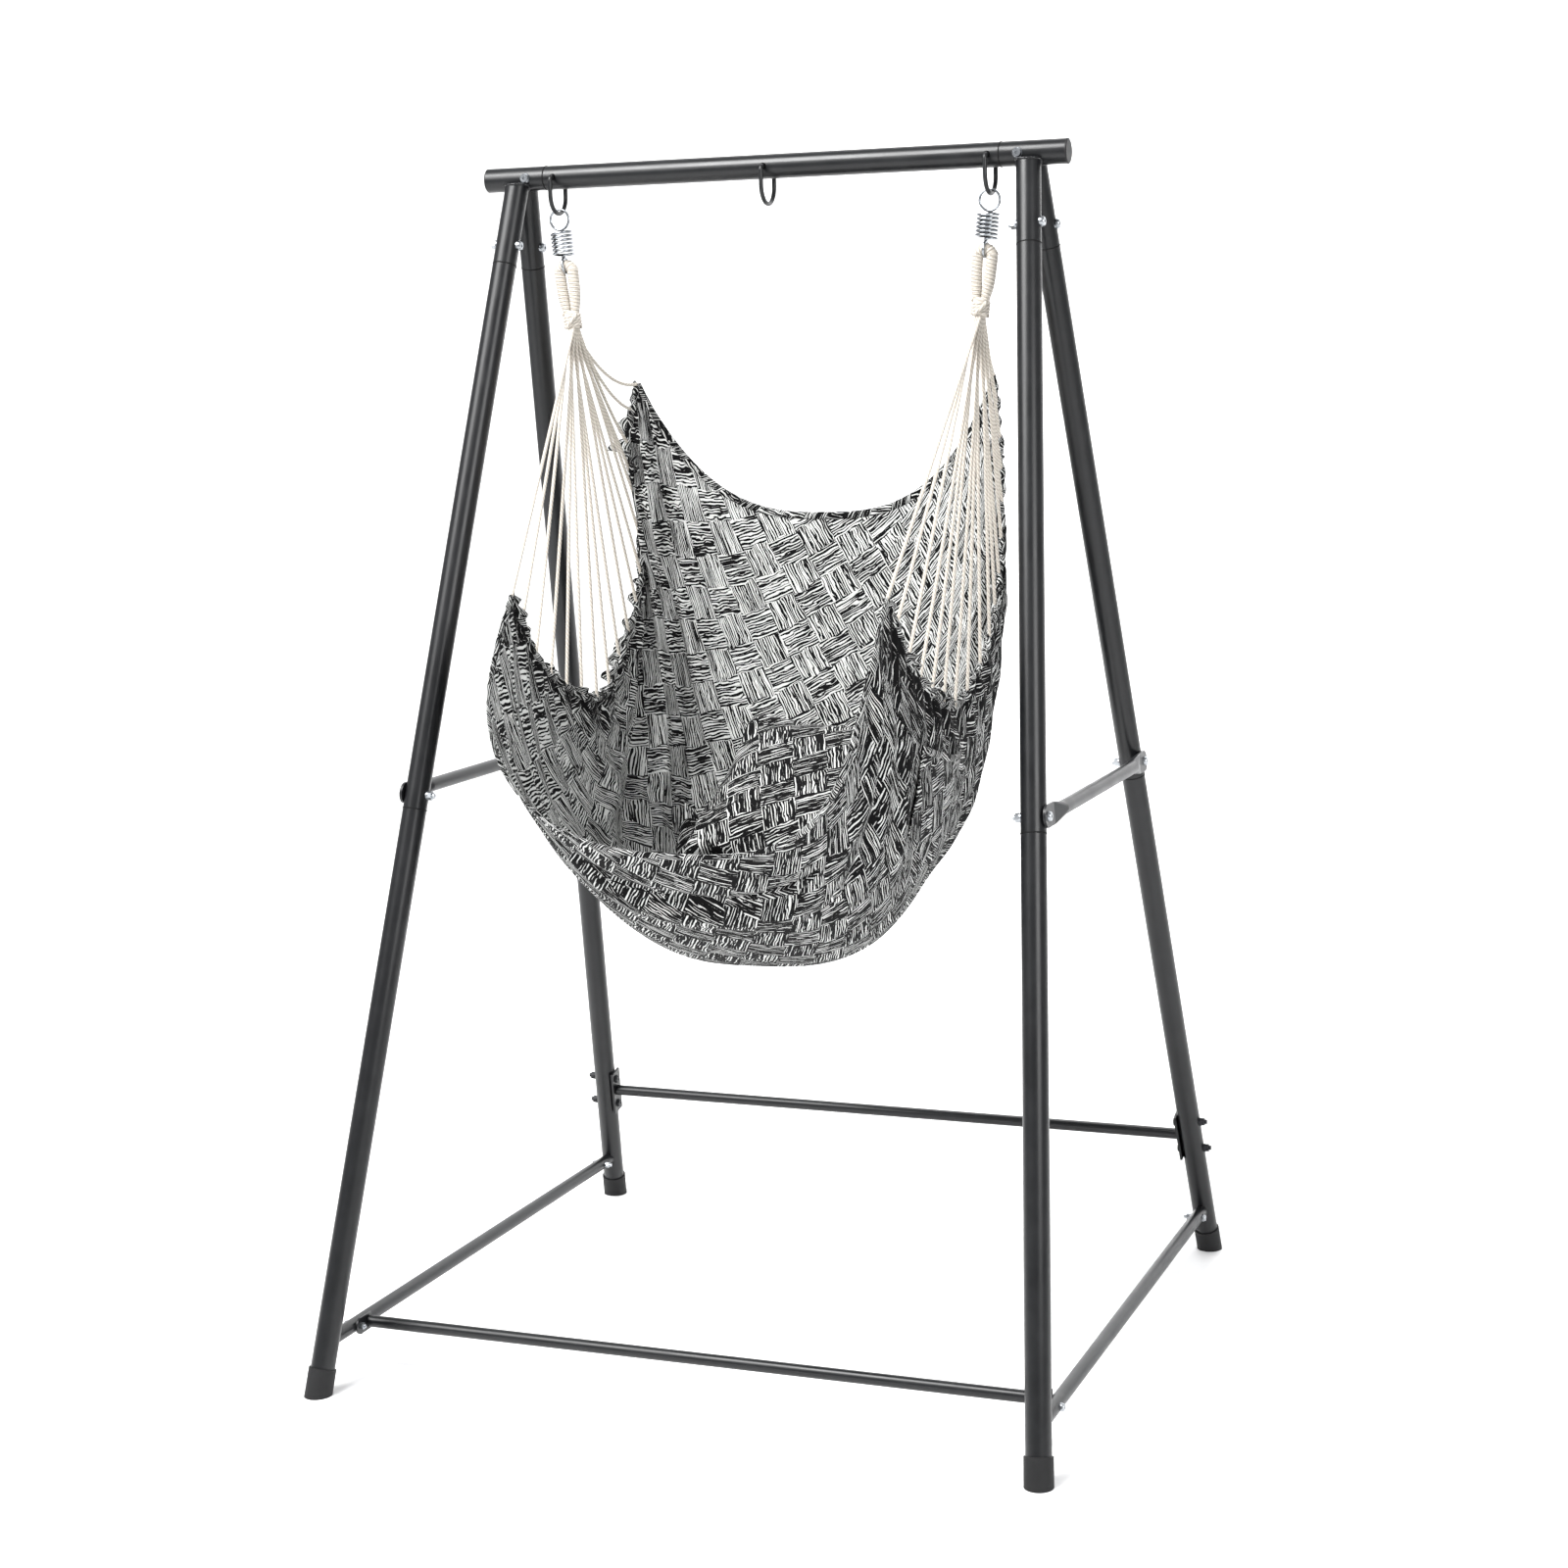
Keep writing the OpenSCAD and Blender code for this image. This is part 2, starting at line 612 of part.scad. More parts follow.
module collar(sx) {
  rounding = 6;
  corner = collar_d / 2 - rounding;
  profile = concat(
    [[0, 0]],
    [for (a = [-90:15:0]) [corner + rounding * cos(a), rounding + rounding * sin(a)]],
    [for (a = [0:15:90]) [corner + rounding * cos(a), collar_len - rounding + rounding * sin(a)]],
    [[0, collar_len]]
  );
  color("#ede8df") hang(sx) translate([0, 0, -collar_to]) rotate_extrude() polygon(profile);
}

// Parabola between two points that hangs below their line by sag at its middle
function slack_path(start, end, sag) =
  [for (t = [0:1 / 24:1]) start + t * (end - start) - [0, 0, 4 * sag * t * (1 - t)]];

// The cords leave the collar in rows and end at even steps down the seat's side edge
module cords(sx) {
  columns = cord_count / cord_rows;
  color("#ede8df") for (i = [0:cord_count - 1]) {
    start = hang_point(sx, [
      cord_pitch * (i % cord_rows - (cord_rows - 1) / 2),
      cord_pitch * ((columns - 1) / 2 - floor(i / cord_rows)),
      -collar_to
    ]);
    e = edge(i / (cord_count - 1));
    hem = [sx * e.x, e.y, e.z];
    end = hem + cord_end_gap * unit(start - hem);
    if (sx < 0 && i < len(slack_sag))
      sweep(slack_path(start, end, slack_sag[i]), cord_d / 2, 10, [1, 0, 0]);
    else
      rod(start, end, cord_d / 2);
  }
}

module seat_fabric() {
  grid = function(off) [for (i = [0:seat_along]) [for (j = [0:seat_across])
    seat_off(2 * j / seat_across - 1, i / seat_along, off)]];
  color("#8f8f8f") slab(grid(cloth / 2), grid(-cloth / 2));
}

// Flat pocket that lies on the outside of the seat's right side
module side_pocket() {
  steps = 8;
  gap = 0.6;
  thick = 3;
  grid = function(off) [for (i = [0:steps]) [for (j = [0:steps])
    seat_off(0.7 + 0.2 * j / steps, 0.64 + 0.17 * i / steps, off)]];
  color("#7a7a7a") slab(grid(-cloth / 2 - gap), grid(-cloth / 2 - gap - thick));
}

// Lens-shaped pad that lies in the bottom of the seat
module seat_cushion() {
  steps = 16;
  puff = function(s, t) (1 - pow(s, 4)) * (1 - pow(t, 4));
  grid = function(top) [for (i = [0:steps]) [for (j = [0:steps])
    let (s = 2 * j / steps - 1, t = 2 * i / steps - 1, base = cloth / 2 + cushion_clear)
    seat_off(0.45 * s, 0.7 + 0.24 * t, base + (top ? 6 + cushion_thick * puff(s, t) : 0))]];
  color("#8f8f8f") slab(grid(true), grid(false));
}

// The pillow leans back from its lower edge, which rests on the cushion
module loose_pillow() {
  steps = 14;
  half = pillow_size / 2;
  rim = 3;
  puff = function(s, t)
    (rim + (pillow_thick / 2 - rim) * sqrt((1 - pow(s, 4)) * (1 - pow(t, 4)))) / half;
  grid = function(side) [for (i = [0:steps]) [for (j = [0:steps])
    let (
      s = 2 * j / steps - 1,
      t = 2 * i / steps - 1,
      pinch = 1 - pillow_pinch * (2 - s * s - t * t)
    )
    half * [s * pinch, side * puff(s, t), t * pinch]]];
  color("#7a7a7a") translate([pillow_side * bail_x, pillow_y, knot_z - pillow_depth + cushion_thick])
    rotate([0, 0, pillow_turn]) rotate([-pillow_lean, 0, 0]) translate([0, -pillow_thick / 2, half])
    slab(grid(1), grid(-1));
}

beam();
connector(-1);  // left_connector
connector(1);  // right_connector
beam_plug(-1);  // left_beam_plug
beam_plug(1);  // right_beam_plug
upper_leg(-1, -1);  // front_left_upper_leg
upper_leg(1, -1);  // front_right_upper_leg
upper_leg(-1, 1);  // back_left_upper_leg
upper_leg(1, 1);  // back_right_upper_leg
lower_leg(-1, -1);  // front_left_lower_leg
lower_leg(1, -1);  // front_right_lower_leg
lower_leg(-1, 1);  // back_left_lower_leg
lower_leg(1, 1);  // back_right_lower_leg
foot_cap(-1, -1);  // front_left_foot_cap
foot_cap(1, -1);  // front_right_foot_cap
foot_cap(-1, 1);  // back_left_foot_cap
foot_cap(1, 1);  // back_right_foot_cap
mid_brace(-1);  // left_mid_brace
mid_brace(1);  // right_mid_brace
base_bar(-1);  // left_base_bar
base_bar(1);  // right_base_bar
front_base_bar();
back_base_bar();
beam_bolts();
beam_nuts();
stub_bolts();
stub_nuts();
brace_bolts();
brace_nuts();
base_bolts();
base_nuts();
bracket_bolts();
bracket_nuts();
bail(-bail_x);  // left_bail
bail(0);  // centre_bail
bail(bail_x);  // right_bail
spring_top_ring(-1);  // left_spring_top_ring
spring_top_ring(1);  // right_spring_top_ring
spring_coils(-1);  // left_spring_coils
spring_coils(1);  // right_spring_coils
spring_bottom_ring(-1);  // left_spring_bottom_ring
spring_bottom_ring(1);  // right_spring_bottom_ring
rope_eye(-1);  // left_rope_eye
rope_eye(1);  // right_rope_eye
collar(-1);  // left_collar
collar(1);  // right_collar
cords(-1);  // left_cords
cords(1);  // right_cords
seat_fabric();
side_pocket();
seat_cushion();
loose_pillow();
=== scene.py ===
import json
import math

import bpy
import numpy as np
from mathutils import Matrix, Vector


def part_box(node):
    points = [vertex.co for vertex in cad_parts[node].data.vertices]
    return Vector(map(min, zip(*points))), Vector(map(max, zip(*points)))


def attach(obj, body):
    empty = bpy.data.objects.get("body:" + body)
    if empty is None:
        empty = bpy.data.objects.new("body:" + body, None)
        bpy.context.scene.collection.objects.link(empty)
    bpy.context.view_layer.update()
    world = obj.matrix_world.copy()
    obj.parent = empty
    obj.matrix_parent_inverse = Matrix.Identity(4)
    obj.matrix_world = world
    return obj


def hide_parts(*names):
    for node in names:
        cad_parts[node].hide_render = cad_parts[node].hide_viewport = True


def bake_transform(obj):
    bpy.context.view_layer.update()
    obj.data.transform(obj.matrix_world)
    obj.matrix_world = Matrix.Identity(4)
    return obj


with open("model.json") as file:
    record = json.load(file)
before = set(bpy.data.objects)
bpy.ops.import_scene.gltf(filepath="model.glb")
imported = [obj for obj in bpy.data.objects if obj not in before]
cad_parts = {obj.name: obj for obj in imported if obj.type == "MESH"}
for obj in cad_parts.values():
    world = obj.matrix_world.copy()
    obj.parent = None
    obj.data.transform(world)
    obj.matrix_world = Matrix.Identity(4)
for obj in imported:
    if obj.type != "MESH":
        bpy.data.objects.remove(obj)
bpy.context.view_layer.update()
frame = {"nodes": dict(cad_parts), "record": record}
nodes = frame["nodes"]
MM = 0.001
TAU = 2 * math.pi


# ---- Shared helpers ----

def unit(v):
    """Each vector divided by its length."""
    return v / np.linalg.norm(v, axis=-1, keepdims=True)


def angles(count):
    """Evenly spaced angles round a full turn, the first one at 0 and none at its end."""
    return np.arange(count) * TAU / count


def new_object(name, data):
    """An object of that data, linked into the scene."""
    made = bpy.data.objects.new(name, data)
    bpy.context.scene.collection.objects.link(made)
    return made


def turn_to(thing, right, up, back, at):
    """Places a camera or lamp by its three own directions and its point."""
    rows = np.column_stack([right, up, back, at])
    thing.matrix_world = Matrix([*rows.tolist(), [0, 0, 0, 1]])


# ---- Camera: stands in front and to the right, a little above the seat ----

CAMERA_TURN = math.radians(21.2)
CAMERA_DOWN = math.radians(8.45)
CAMERA_ROLL = math.radians(-1.32)
CAMERA_PLACE = (1.581, -4.065, 1.539)
CAMERA_LENS = 63.0


def make_camera():
    """A camera whose back vector is given by its turn and its downward tilt, then rolled about it."""
    back = np.array([
        math.sin(CAMERA_TURN) * math.cos(CAMERA_DOWN),
        -math.cos(CAMERA_TURN) * math.cos(CAMERA_DOWN),
        math.sin(CAMERA_DOWN),
    ])
    level = np.array([math.cos(CAMERA_TURN), math.sin(CAMERA_TURN), 0])
    rise = np.cross(back, level)
    right = math.cos(CAMERA_ROLL) * level + math.sin(CAMERA_ROLL) * rise
    up = math.cos(CAMERA_ROLL) * rise - math.sin(CAMERA_ROLL) * level
    data = bpy.data.cameras.new("camera")
    data.lens = CAMERA_LENS
    data.sensor_width = 36
    camera = new_object("camera", data)
    turn_to(camera, right, up, back, CAMERA_PLACE)
    bpy.context.scene.camera = camera


make_camera()


# ---- Curves and surfaces ----

def along(points, v):
    """The smooth curve through points that are evenly spaced in v from 0 to 1: each stretch is
    the cubic whose slope at a point is half the step between its two neighbours."""
    p = np.asarray(points, float)
    last = len(p) - 1
    s = np.clip(v, 0, 1) * last
    i = np.minimum(s.astype(int), last - 1)
    t = s - i
    if p.ndim > 1:
        t = t[..., None]
    a, b, c, d = p[np.maximum(i - 1, 0)], p[i], p[i + 1], p[np.minimum(i + 2, last)]
    return (b + t * (c - a) / 2 + t**2 * (a - 2.5 * b + 2 * c - d / 2)
            + t**3 * (3 * b - 3 * c + d - a) / 2)


def sweep(path, radius, sides, flat, flatten=1.0):
    """A tube round a path: at each point a circle of the radius there, in the plane of two
    vectors at right angles to the path, the second of which lies near flat. flatten squeezes it
    along that second vector."""
    ahead = unit(np.gradient(path, axis=0))
    side = unit(np.cross(flat, ahead))
    rise = np.cross(ahead, side)
    angle = angles(sides)
    r = np.asarray(radius, float)
    if r.ndim < 2:
        r = np.broadcast_to(r, len(path))[:, None]
    return (path[:, None] + (r * np.cos(angle))[..., None] * side[:, None]
            + (r * np.sin(angle) * flatten)[..., None] * rise[:, None])


def run(points):
    """Distance covered along the first axis of a grid of points, from its first row."""
    step = np.linalg.norm(np.diff(points, axis=0), axis=-1)
    return np.concatenate([np.zeros_like(step[:1]), np.cumsum(step, axis=0)])


def mesh_from(name, grid, material, body, wrap=False, uv=None, flip=False, caps=False):
    """A smooth mesh over a grid of points, one face between each four neighbours. wrap joins the
    last column to the first, caps closes the two ends of a tube, uv gives each point (and one
    more column where it wraps) its place on the cloth in metres."""
    rows, cols = grid.shape[:2]
    i, j = np.meshgrid(np.arange(rows - 1), np.arange(cols if wrap else cols - 1), indexing="ij")
    k = (j + 1) % cols
    faces = np.stack([i * cols + j, i * cols + k, (i + 1) * cols + k, (i + 1) * cols + j], -1)
    faces = faces.reshape(-1, 4)
    if flip:
        faces = faces[:, ::-1]
    polygons = faces.tolist()
    if caps:
        first = np.arange(cols)
        last = (rows - 1) * cols + first
        ends = [first[::-1], last] if not flip else [first, last[::-1]]
        polygons += [e.tolist() for e in ends]
    mesh = bpy.data.meshes.new(name)
    mesh.from_pydata(grid.reshape(-1, 3).tolist(), [], polygons)
    if uv is None:
        around = np.linspace(0, 1, cols + 1 if wrap else cols)
        uv = np.stack(np.broadcast_arrays(around[None], run(grid).mean(1)[:, None]), -1)
    corners = np.stack([uv[i, j], uv[i, j + 1], uv[i + 1, j + 1], uv[i + 1, j]], 2).reshape(-1, 4, 2)
    if flip:
        corners = corners[:, ::-1]
    flat = np.zeros((len(mesh.loops), 2))
    flat[:len(corners) * 4] = corners.reshape(-1, 2)
    layer = mesh.uv_layers.new(name="cloth")
    layer.data.foreach_set("uv", flat.ravel())
    mesh.polygons.foreach_set("use_smooth", np.ones(len(mesh.polygons), bool))
    mesh.validate()
    return place(mesh, material, body)


def thicken(piece, thickness):
    """Gives a sheet its thickness, half of it to each side."""
    solid = piece.modifiers.new("cloth thickness", "SOLIDIFY")
    solid.thickness = thickness
    solid.offset = 0
    return solid


def place(mesh, material, body):
    """Puts a mesh into the scene, with its materials, on a moving body."""
    piece = new_object(mesh.name, mesh)
    for m in material if isinstance(material, (list, tuple)) else [material]:
        mesh.materials.append(m)
    if body:
        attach(piece, body)
    return piece


# ---- Materials ----

def colour(hex_code):
    """sRGB hex to the linear values that a shader takes."""
    c = np.array([int(hex_code[k:k + 2], 16) for k in (1, 3, 5)]) / 255
    linear = np.where(c <= 0.04045, c / 12.92, ((c + 0.055) / 1.055) ** 2.4)
    return (*linear.tolist(), 1.0)


def feed(tree, node, feeds):
    """Drives a node's inputs, each with a value of its own or with another node's socket."""
    for key, value in feeds.items():
        if isinstance(value, bpy.types.NodeSocket):
            tree.links.new(value, node.inputs[key])
        else:
            node.inputs[key].default_value = value


def add(tree, kind, settings=None, feeds=None):
    """Adds one node. settings are its own properties, with stops for a colour ramp."""
    node = tree.nodes.new(kind)
    for key, value in (settings or {}).items():
        if key == "stops":
            ramp = node.color_ramp
            while len(ramp.elements) < len(value):
                ramp.elements.new(0.5)
            for element, (at, shade) in zip(ramp.elements, value):
                element.position = at
                element.color = shade if isinstance(shade, tuple) else (shade, shade, shade, 1)
        else:
            setattr(node, key, value)
    feed(tree, node, feeds or {})
    return node


def new_material(name):
    """An empty node material with its shader and output joined."""
    material = bpy.data.materials.new(name)
    material.use_nodes = True
    tree = material.node_tree
    tree.nodes.clear()
    shader = add(tree, "ShaderNodeBsdfPrincipled")
    add(tree, "ShaderNodeOutputMaterial", feeds={"Surface": shader.outputs["BSDF"]})
    return material, tree, shader


MOTTLE = 50 * MM


def hard_finish(name, shades, rough, rough_spread, metallic, grain, bump, specular=0.5):
    """Shared make-up of the hard finishes: two shades mixed by a broad mottle, a roughness that
    wanders with it, and a fine bump of the given grain and depth in metres."""
    material, tree, shader = new_material(name)
    where = add(tree, "ShaderNodeTexCoord").outputs["Object"]
    mottle = add(tree, "ShaderNodeTexNoise", {},
                 {"Vector": where, "Scale": 1 / MOTTLE, "Detail": 4.0, "Roughness": 0.6})
    fine = add(tree, "ShaderNodeTexNoise", {}, {"Vector": where, "Scale": 1 / grain, "Detail": 2.0})
    stops = list(zip((0.35, 0.7), map(colour, shades)))
    shade = add(tree, "ShaderNodeValToRGB", {"stops": stops}, {"Fac": mottle.outputs["Fac"]})
    rub = add(tree, "ShaderNodeMapRange", {}, {
        "Value": mottle.outputs["Fac"], "From Min": 0.3, "From Max": 0.7,
        "To Min": rough - rough_spread, "To Max": rough + rough_spread})
    dents = add(tree, "ShaderNodeBump", {}, {
        "Height": fine.outputs["Fac"], "Strength": 0.35, "Distance": bump})
    feed(tree, shader, {"Base Color": shade.outputs["Color"], "Roughness": rub.outputs["Result"],
                        "Normal": dents.outputs["Normal"], "Metallic": metallic,
                        "Specular IOR Level": specular})
    return material


def shaded_inside(name, plain):
    """A copy of a wire's finish with painted shade: it turns dark on the half of the wire where the
    first value of its cloth place is near 0 or 1, which is the half that faces the coil's axis."""
    material = plain.copy()
    material.name = name
    tree = material.node_tree
    shader = next(n for n in tree.nodes if n.type == "BSDF_PRINCIPLED")
    spot = add(tree, "ShaderNodeSeparateXYZ", {},
               {"Vector": add(tree, "ShaderNodeUVMap", {"uv_map": "cloth"}).outputs["UV"]})
    away = add(tree, "ShaderNodeMath", {"operation": "PINGPONG"}, {0: spot.outputs["X"], 1: 0.5})
    # Painted shade: the wire's inner half is scaled down to 0.12 of its colour
    unshaded = add(tree, "ShaderNodeMapRange", {}, {
        "Value": away.outputs[0], "From Min": 0.2, "From Max": 0.3, "To Min": 0.12, "To Max": 1.0})
    shade = shader.inputs["Base Color"].links[0].from_socket
    darker = add(tree, "ShaderNodeVectorMath", {"operation": "SCALE"},
                 {0: shade, "Scale": unshaded.outputs["Result"]})
    tree.links.new(darker.outputs["Vector"], shader.inputs["Base Color"])
    return material


def woven_cotton(name, dark, light, dark_share, softness, turn, pitch):
    """Jacquard cotton with a parquet of woven strokes. The cloth is divided into square blocks,
    in turn with strokes along and across, whose borders wander as in hand-drawn hatching. A
    stroke is a wavy ridge, repeated at the pitch; a noise drawn out along the strokes makes them
    swell, thin and break."""
    block, stroke_len, thread = 50 * MM, 62 * MM, 1.2 * MM
    ridges, breaks_by, fibres_by, chance_by, odd_by = 0.95, 1.32, 0.3, 0.04, 0.03
    material, tree, shader = new_material(name)

    def maths(operation, first, second, third=0.0):
        feeds = {0: first, 1: second, 2: third}
        return add(tree, "ShaderNodeMath", {"operation": operation}, feeds).outputs[0]

    def noise(vector, scale, detail=2.0):
        return add(tree, "ShaderNodeTexNoise", {}, {"Vector": vector, "Scale": scale, "Detail": detail})

    raw = add(tree, "ShaderNodeUVMap", {"uv_map": "cloth"}).outputs["UV"]
    turned = add(tree, "ShaderNodeMapping", {"vector_type": "POINT"},
                 {"Vector": raw, "Rotation": (0, 0, math.radians(turn))}).outputs["Vector"]
    wander = noise(turned, 1 / (30 * MM)).outputs["Color"]
    shift = add(tree, "ShaderNodeVectorMath", {"operation": "SUBTRACT"},
                {0: wander, 1: (0.5, 0.5, 0.5)})
    shift = add(tree, "ShaderNodeVectorMath", {"operation": "SCALE"},
                {0: shift.outputs["Vector"], "Scale": 20 * MM})
    at = add(tree, "ShaderNodeVectorMath", {"operation": "ADD"},
             {0: turned, 1: shift.outputs["Vector"]})
    part = add(tree, "ShaderNodeSeparateXYZ", {}, {"Vector": at.outputs["Vector"]})
    column = maths("FLOOR", maths("DIVIDE", part.outputs["X"], block * 1.12), 0.0)
    row = maths("FLOOR", maths("DIVIDE", part.outputs["Y"], block * 0.9), 0.0)
    total = maths("ADD", column, row)
    odd = maths("FLOORED_MODULO", total, 2.0)
    base = add(tree, "ShaderNodeSeparateXYZ", {}, {"Vector": turned})
    ways = [add(tree, "ShaderNodeCombineXYZ", {},
                {"X": base.outputs[x], "Y": base.outputs[y], "Z": total})
            for x, y in (("X", "Y"), ("Y", "X"))]
    chosen = add(tree, "ShaderNodeMix", {"data_type": "VECTOR"},
                 {"Factor": odd, 4: ways[0].outputs[0], 5: ways[1].outputs[0]}).outputs[1]
    waves = add(tree, "ShaderNodeVectorMath", {"operation": "DIVIDE"},
                {0: chosen, 1: (26 * MM, 13 * MM, 1.0)})
    wavy = noise(waves.outputs["Vector"], 1.0, 1.0).outputs["Fac"]
    drawn_out = add(tree, "ShaderNodeVectorMath", {"operation": "DIVIDE"},
                    {0: chosen, 1: (stroke_len, 0.6 * pitch, 0.37)})
    breaks = noise(drawn_out.outputs["Vector"], 1.0, 2.5).outputs["Fac"]
    stroke = add(tree, "ShaderNodeSeparateXYZ", {}, {"Vector": chosen}).outputs["Y"]
    phase = maths("MULTIPLY_ADD", stroke, 1 / pitch, maths("MULTIPLY", wavy, 2.4))
    ridge_height = maths("PINGPONG", phase, 0.5)
    fibres = noise(raw, 1 / thread).outputs["Fac"]
    cell = add(tree, "ShaderNodeCombineXYZ", {}, {"X": column, "Y": row})
    chance = add(tree, "ShaderNodeTexWhiteNoise", {"noise_dimensions": "2D"},
                 {"Vector": cell.outputs[0]}).outputs["Value"]
    height = maths("MULTIPLY_ADD", odd, odd_by, 0.0)
    for part_height, share in ((chance, chance_by), (fibres, fibres_by), (breaks, breaks_by),
                               (ridge_height, ridges)):
        height = maths("MULTIPLY_ADD", part_height, share, height)
    middle = (0.25 * ridges + 0.5 * (breaks_by + fibres_by + chance_by + odd_by)
              + 0.6 * (dark_share - 0.5))
    # Darker towards the side edges by the gather attribute: painted shade in the gathers, and the
    # pattern crowding there
    gather = add(tree, "ShaderNodeAttribute", {"attribute_name": "gather"}).outputs["Fac"]
    crowded_and_shaded = maths("MULTIPLY_ADD", gather, -0.22, height)
    inked = add(tree, "ShaderNodeMapRange", {"interpolation_type": "SMOOTHSTEP"}, {
        "Value": crowded_and_shaded, "From Min": middle - softness, "From Max": middle + softness,
        "To Min": 0.0, "To Max": 1.0}).outputs["Result"]
    patch = noise(raw, 1 / (80 * MM)).outputs["Fac"]
    faded = add(tree, "ShaderNodeMapRange", {}, {
        "Value": patch, "From Min": 0.3, "From Max": 0.7, "To Min": 0.88, "To Max": 1.06})
    tone = add(tree, "ShaderNodeMix", {"data_type": "RGBA"},
               {"Factor": inked, 6: colour(dark), 7: colour(light)})
    toned = add(tree, "ShaderNodeVectorMath", {"operation": "SCALE"},
                {0: tone.outputs[2], "Scale": faded.outputs["Result"]})
    raised = add(tree, "ShaderNodeBump", {}, {"Height": inked, "Strength": 0.45, "Distance": 0.6 * MM})
    grained = add(tree, "ShaderNodeBump", {}, {
        "Height": fibres, "Strength": 0.35, "Distance": 0.4 * MM, "Normal": raised.outputs["Normal"]})
    feed(tree, shader, {"Base Color": toned.outputs["Vector"], "Normal": grained.outputs["Normal"],
                        "Roughness": 0.92, "Specular IOR Level": 0.12, "Sheen Weight": 0.03,
                        "Sheen Roughness": 0.5})
    return material


def cotton_cord(name, strand_count, lay_length):
    """Undyed twisted cotton: strands that wind round the cord once in lay_length, darker in the
    grooves between them by painted shade, with fine fibres."""
    material, tree, shader = new_material(name)
    raw = add(tree, "ShaderNodeUVMap", {"uv_map": "cloth"})
    part = add(tree, "ShaderNodeSeparateXYZ", {}, {"Vector": raw.outputs["UV"]})
    turn = add(tree, "ShaderNodeMath", {"operation": "MULTIPLY"},
               {0: part.outputs["X"], 1: float(strand_count)})
    lay = add(tree, "ShaderNodeMath", {"operation": "MULTIPLY_ADD"},
              {0: part.outputs["Y"], 1: strand_count / lay_length, 2: turn.outputs[0]})
    groove = add(tree, "ShaderNodeMath", {"operation": "PINGPONG"}, {0: lay.outputs[0], 1: 0.5})
    where = add(tree, "ShaderNodeTexCoord").outputs["Object"]
    fibre = add(tree, "ShaderNodeTexNoise", {},
                {"Vector": where, "Scale": 1 / (0.9 * MM), "Detail": 3.0})
    depth = add(tree, "ShaderNodeMath", {"operation": "MULTIPLY_ADD"},
                {0: fibre.outputs["Fac"], 1: 0.2, 2: groove.outputs[0]})
    # The darkest stop is painted shade in the grooves between the strands
    stops = [(0.06, colour("#948e84")), (0.3, colour("#b8b1a7")), (0.6, colour("#cdc7be"))]
    shade = add(tree, "ShaderNodeValToRGB", {"stops": stops}, {"Fac": depth.outputs[0]})
    ridges = add(tree, "ShaderNodeBump", {}, {
        "Height": depth.outputs[0], "Strength": 0.6, "Distance": 0.7 * MM})
    feed(tree, shader, {"Base Color": shade.outputs["Color"], "Normal": ridges.outputs["Normal"],
                        "Roughness": 0.85, "Specular IOR Level": 0.25, "Sheen Weight": 0.15,
                        "Subsurface Weight": 0.06, "Subsurface Radius": (0.004, 0.003, 0.002)})
    return material


# Powder-coated steel: satin black with a faint orange-peel skin that softens its highlights
powder_coat = hard_finish("satin black powder coat", ("#0d0e10", "#141517"),
                          0.32, 0.04, 0.0, 0.9 * MM, 0.07 * MM, 0.4)
# The same black coating on the thin bars, painted lighter grey for the light that falls on them from
# above
lit_bar_coat = hard_finish("black powder coat painted lighter for the bars", ("#1d1e20", "#27282a"),
                        0.38, 0.05, 0.0, 0.9 * MM, 0.08 * MM, 0.36)
# Painted shadow of the gap between two tubes: a near-black ring where the gap's shade falls
seam_shade = hard_finish("painted seam gap shadow", ("#060606", "#0d0d0e"),
                         0.7, 0.05, 0.0, 0.6 * MM, 0.05 * MM, 0.2)
# Bent rod with the same coating, a little glossier where the ring rubs it
rod_coat = hard_finish("black coated rod", ("#141516", "#1c1d1f"),
                       0.33, 0.06, 0.0, 0.8 * MM, 0.06 * MM, 0.4)
# Moulded polypropylene: matt, slightly mottled black of the beam's plugs
moulded_plastic = hard_finish("black moulded plastic", ("#121213", "#1a1a1b"),
                              0.5, 0.06, 0.0, 0.5 * MM, 0.1 * MM, 0.35)
# Rubbery PVC of the foot caps: duller, with dust in its grain
foot_rubber = hard_finish("black foot rubber", ("#121213", "#1c1c1d"),
                          0.62, 0.08, 0.0, 0.7 * MM, 0.15 * MM, 0.3)
# Zinc-plated steel fasteners: bright, bluish, with a fine tumbled grain
zinc_plate = hard_finish("bright zinc plate", ("#8b8e92", "#bcc0c4"),
                         0.28, 0.08, 1.0, 0.5 * MM, 0.05 * MM)
# Black zinc on the fasteners near the floor: dull dark metal
black_zinc = hard_finish("black zinc plate", ("#1b1c1e", "#2c2d30"), 0.4, 0.08, 0.6, 0.5 * MM, 0.05 * MM)
# Zinc-plated drawn spring wire: brighter streaks where the coils rub
spring_wire = hard_finish("zinc plated spring wire", ("#7f8388", "#c3c7cb"),
                          0.22, 0.06, 1.0, 0.4 * MM, 0.05 * MM)
# Painted shade on the wire's face towards the coil's axis, so the gaps between the coils read black
inner_shaded_wire = shaded_inside("zinc plated wire, painted shade inside", spring_wire)
# Cotton jacquard, washed side: mostly undyed thread with thin black strokes
light_face = woven_cotton("jacquard cotton light face", "#0b0b0c", "#d6d7d5", 0.57, 0.028, 28, 4.5 * MM)
# Cotton jacquard, dyed side: black ground with raised white strokes
dark_face = woven_cotton("jacquard cotton dark face", "#080809", "#cfd0ce", 0.75, 0.028, 28, 4.7 * MM)
# The pillow's cover is cut on another bias from the dyed side
pillow_cloth = woven_cotton("jacquard cotton pillow cover",
                            "#080809", "#cfd0ce", 0.76, 0.028, -24, 4.7 * MM)
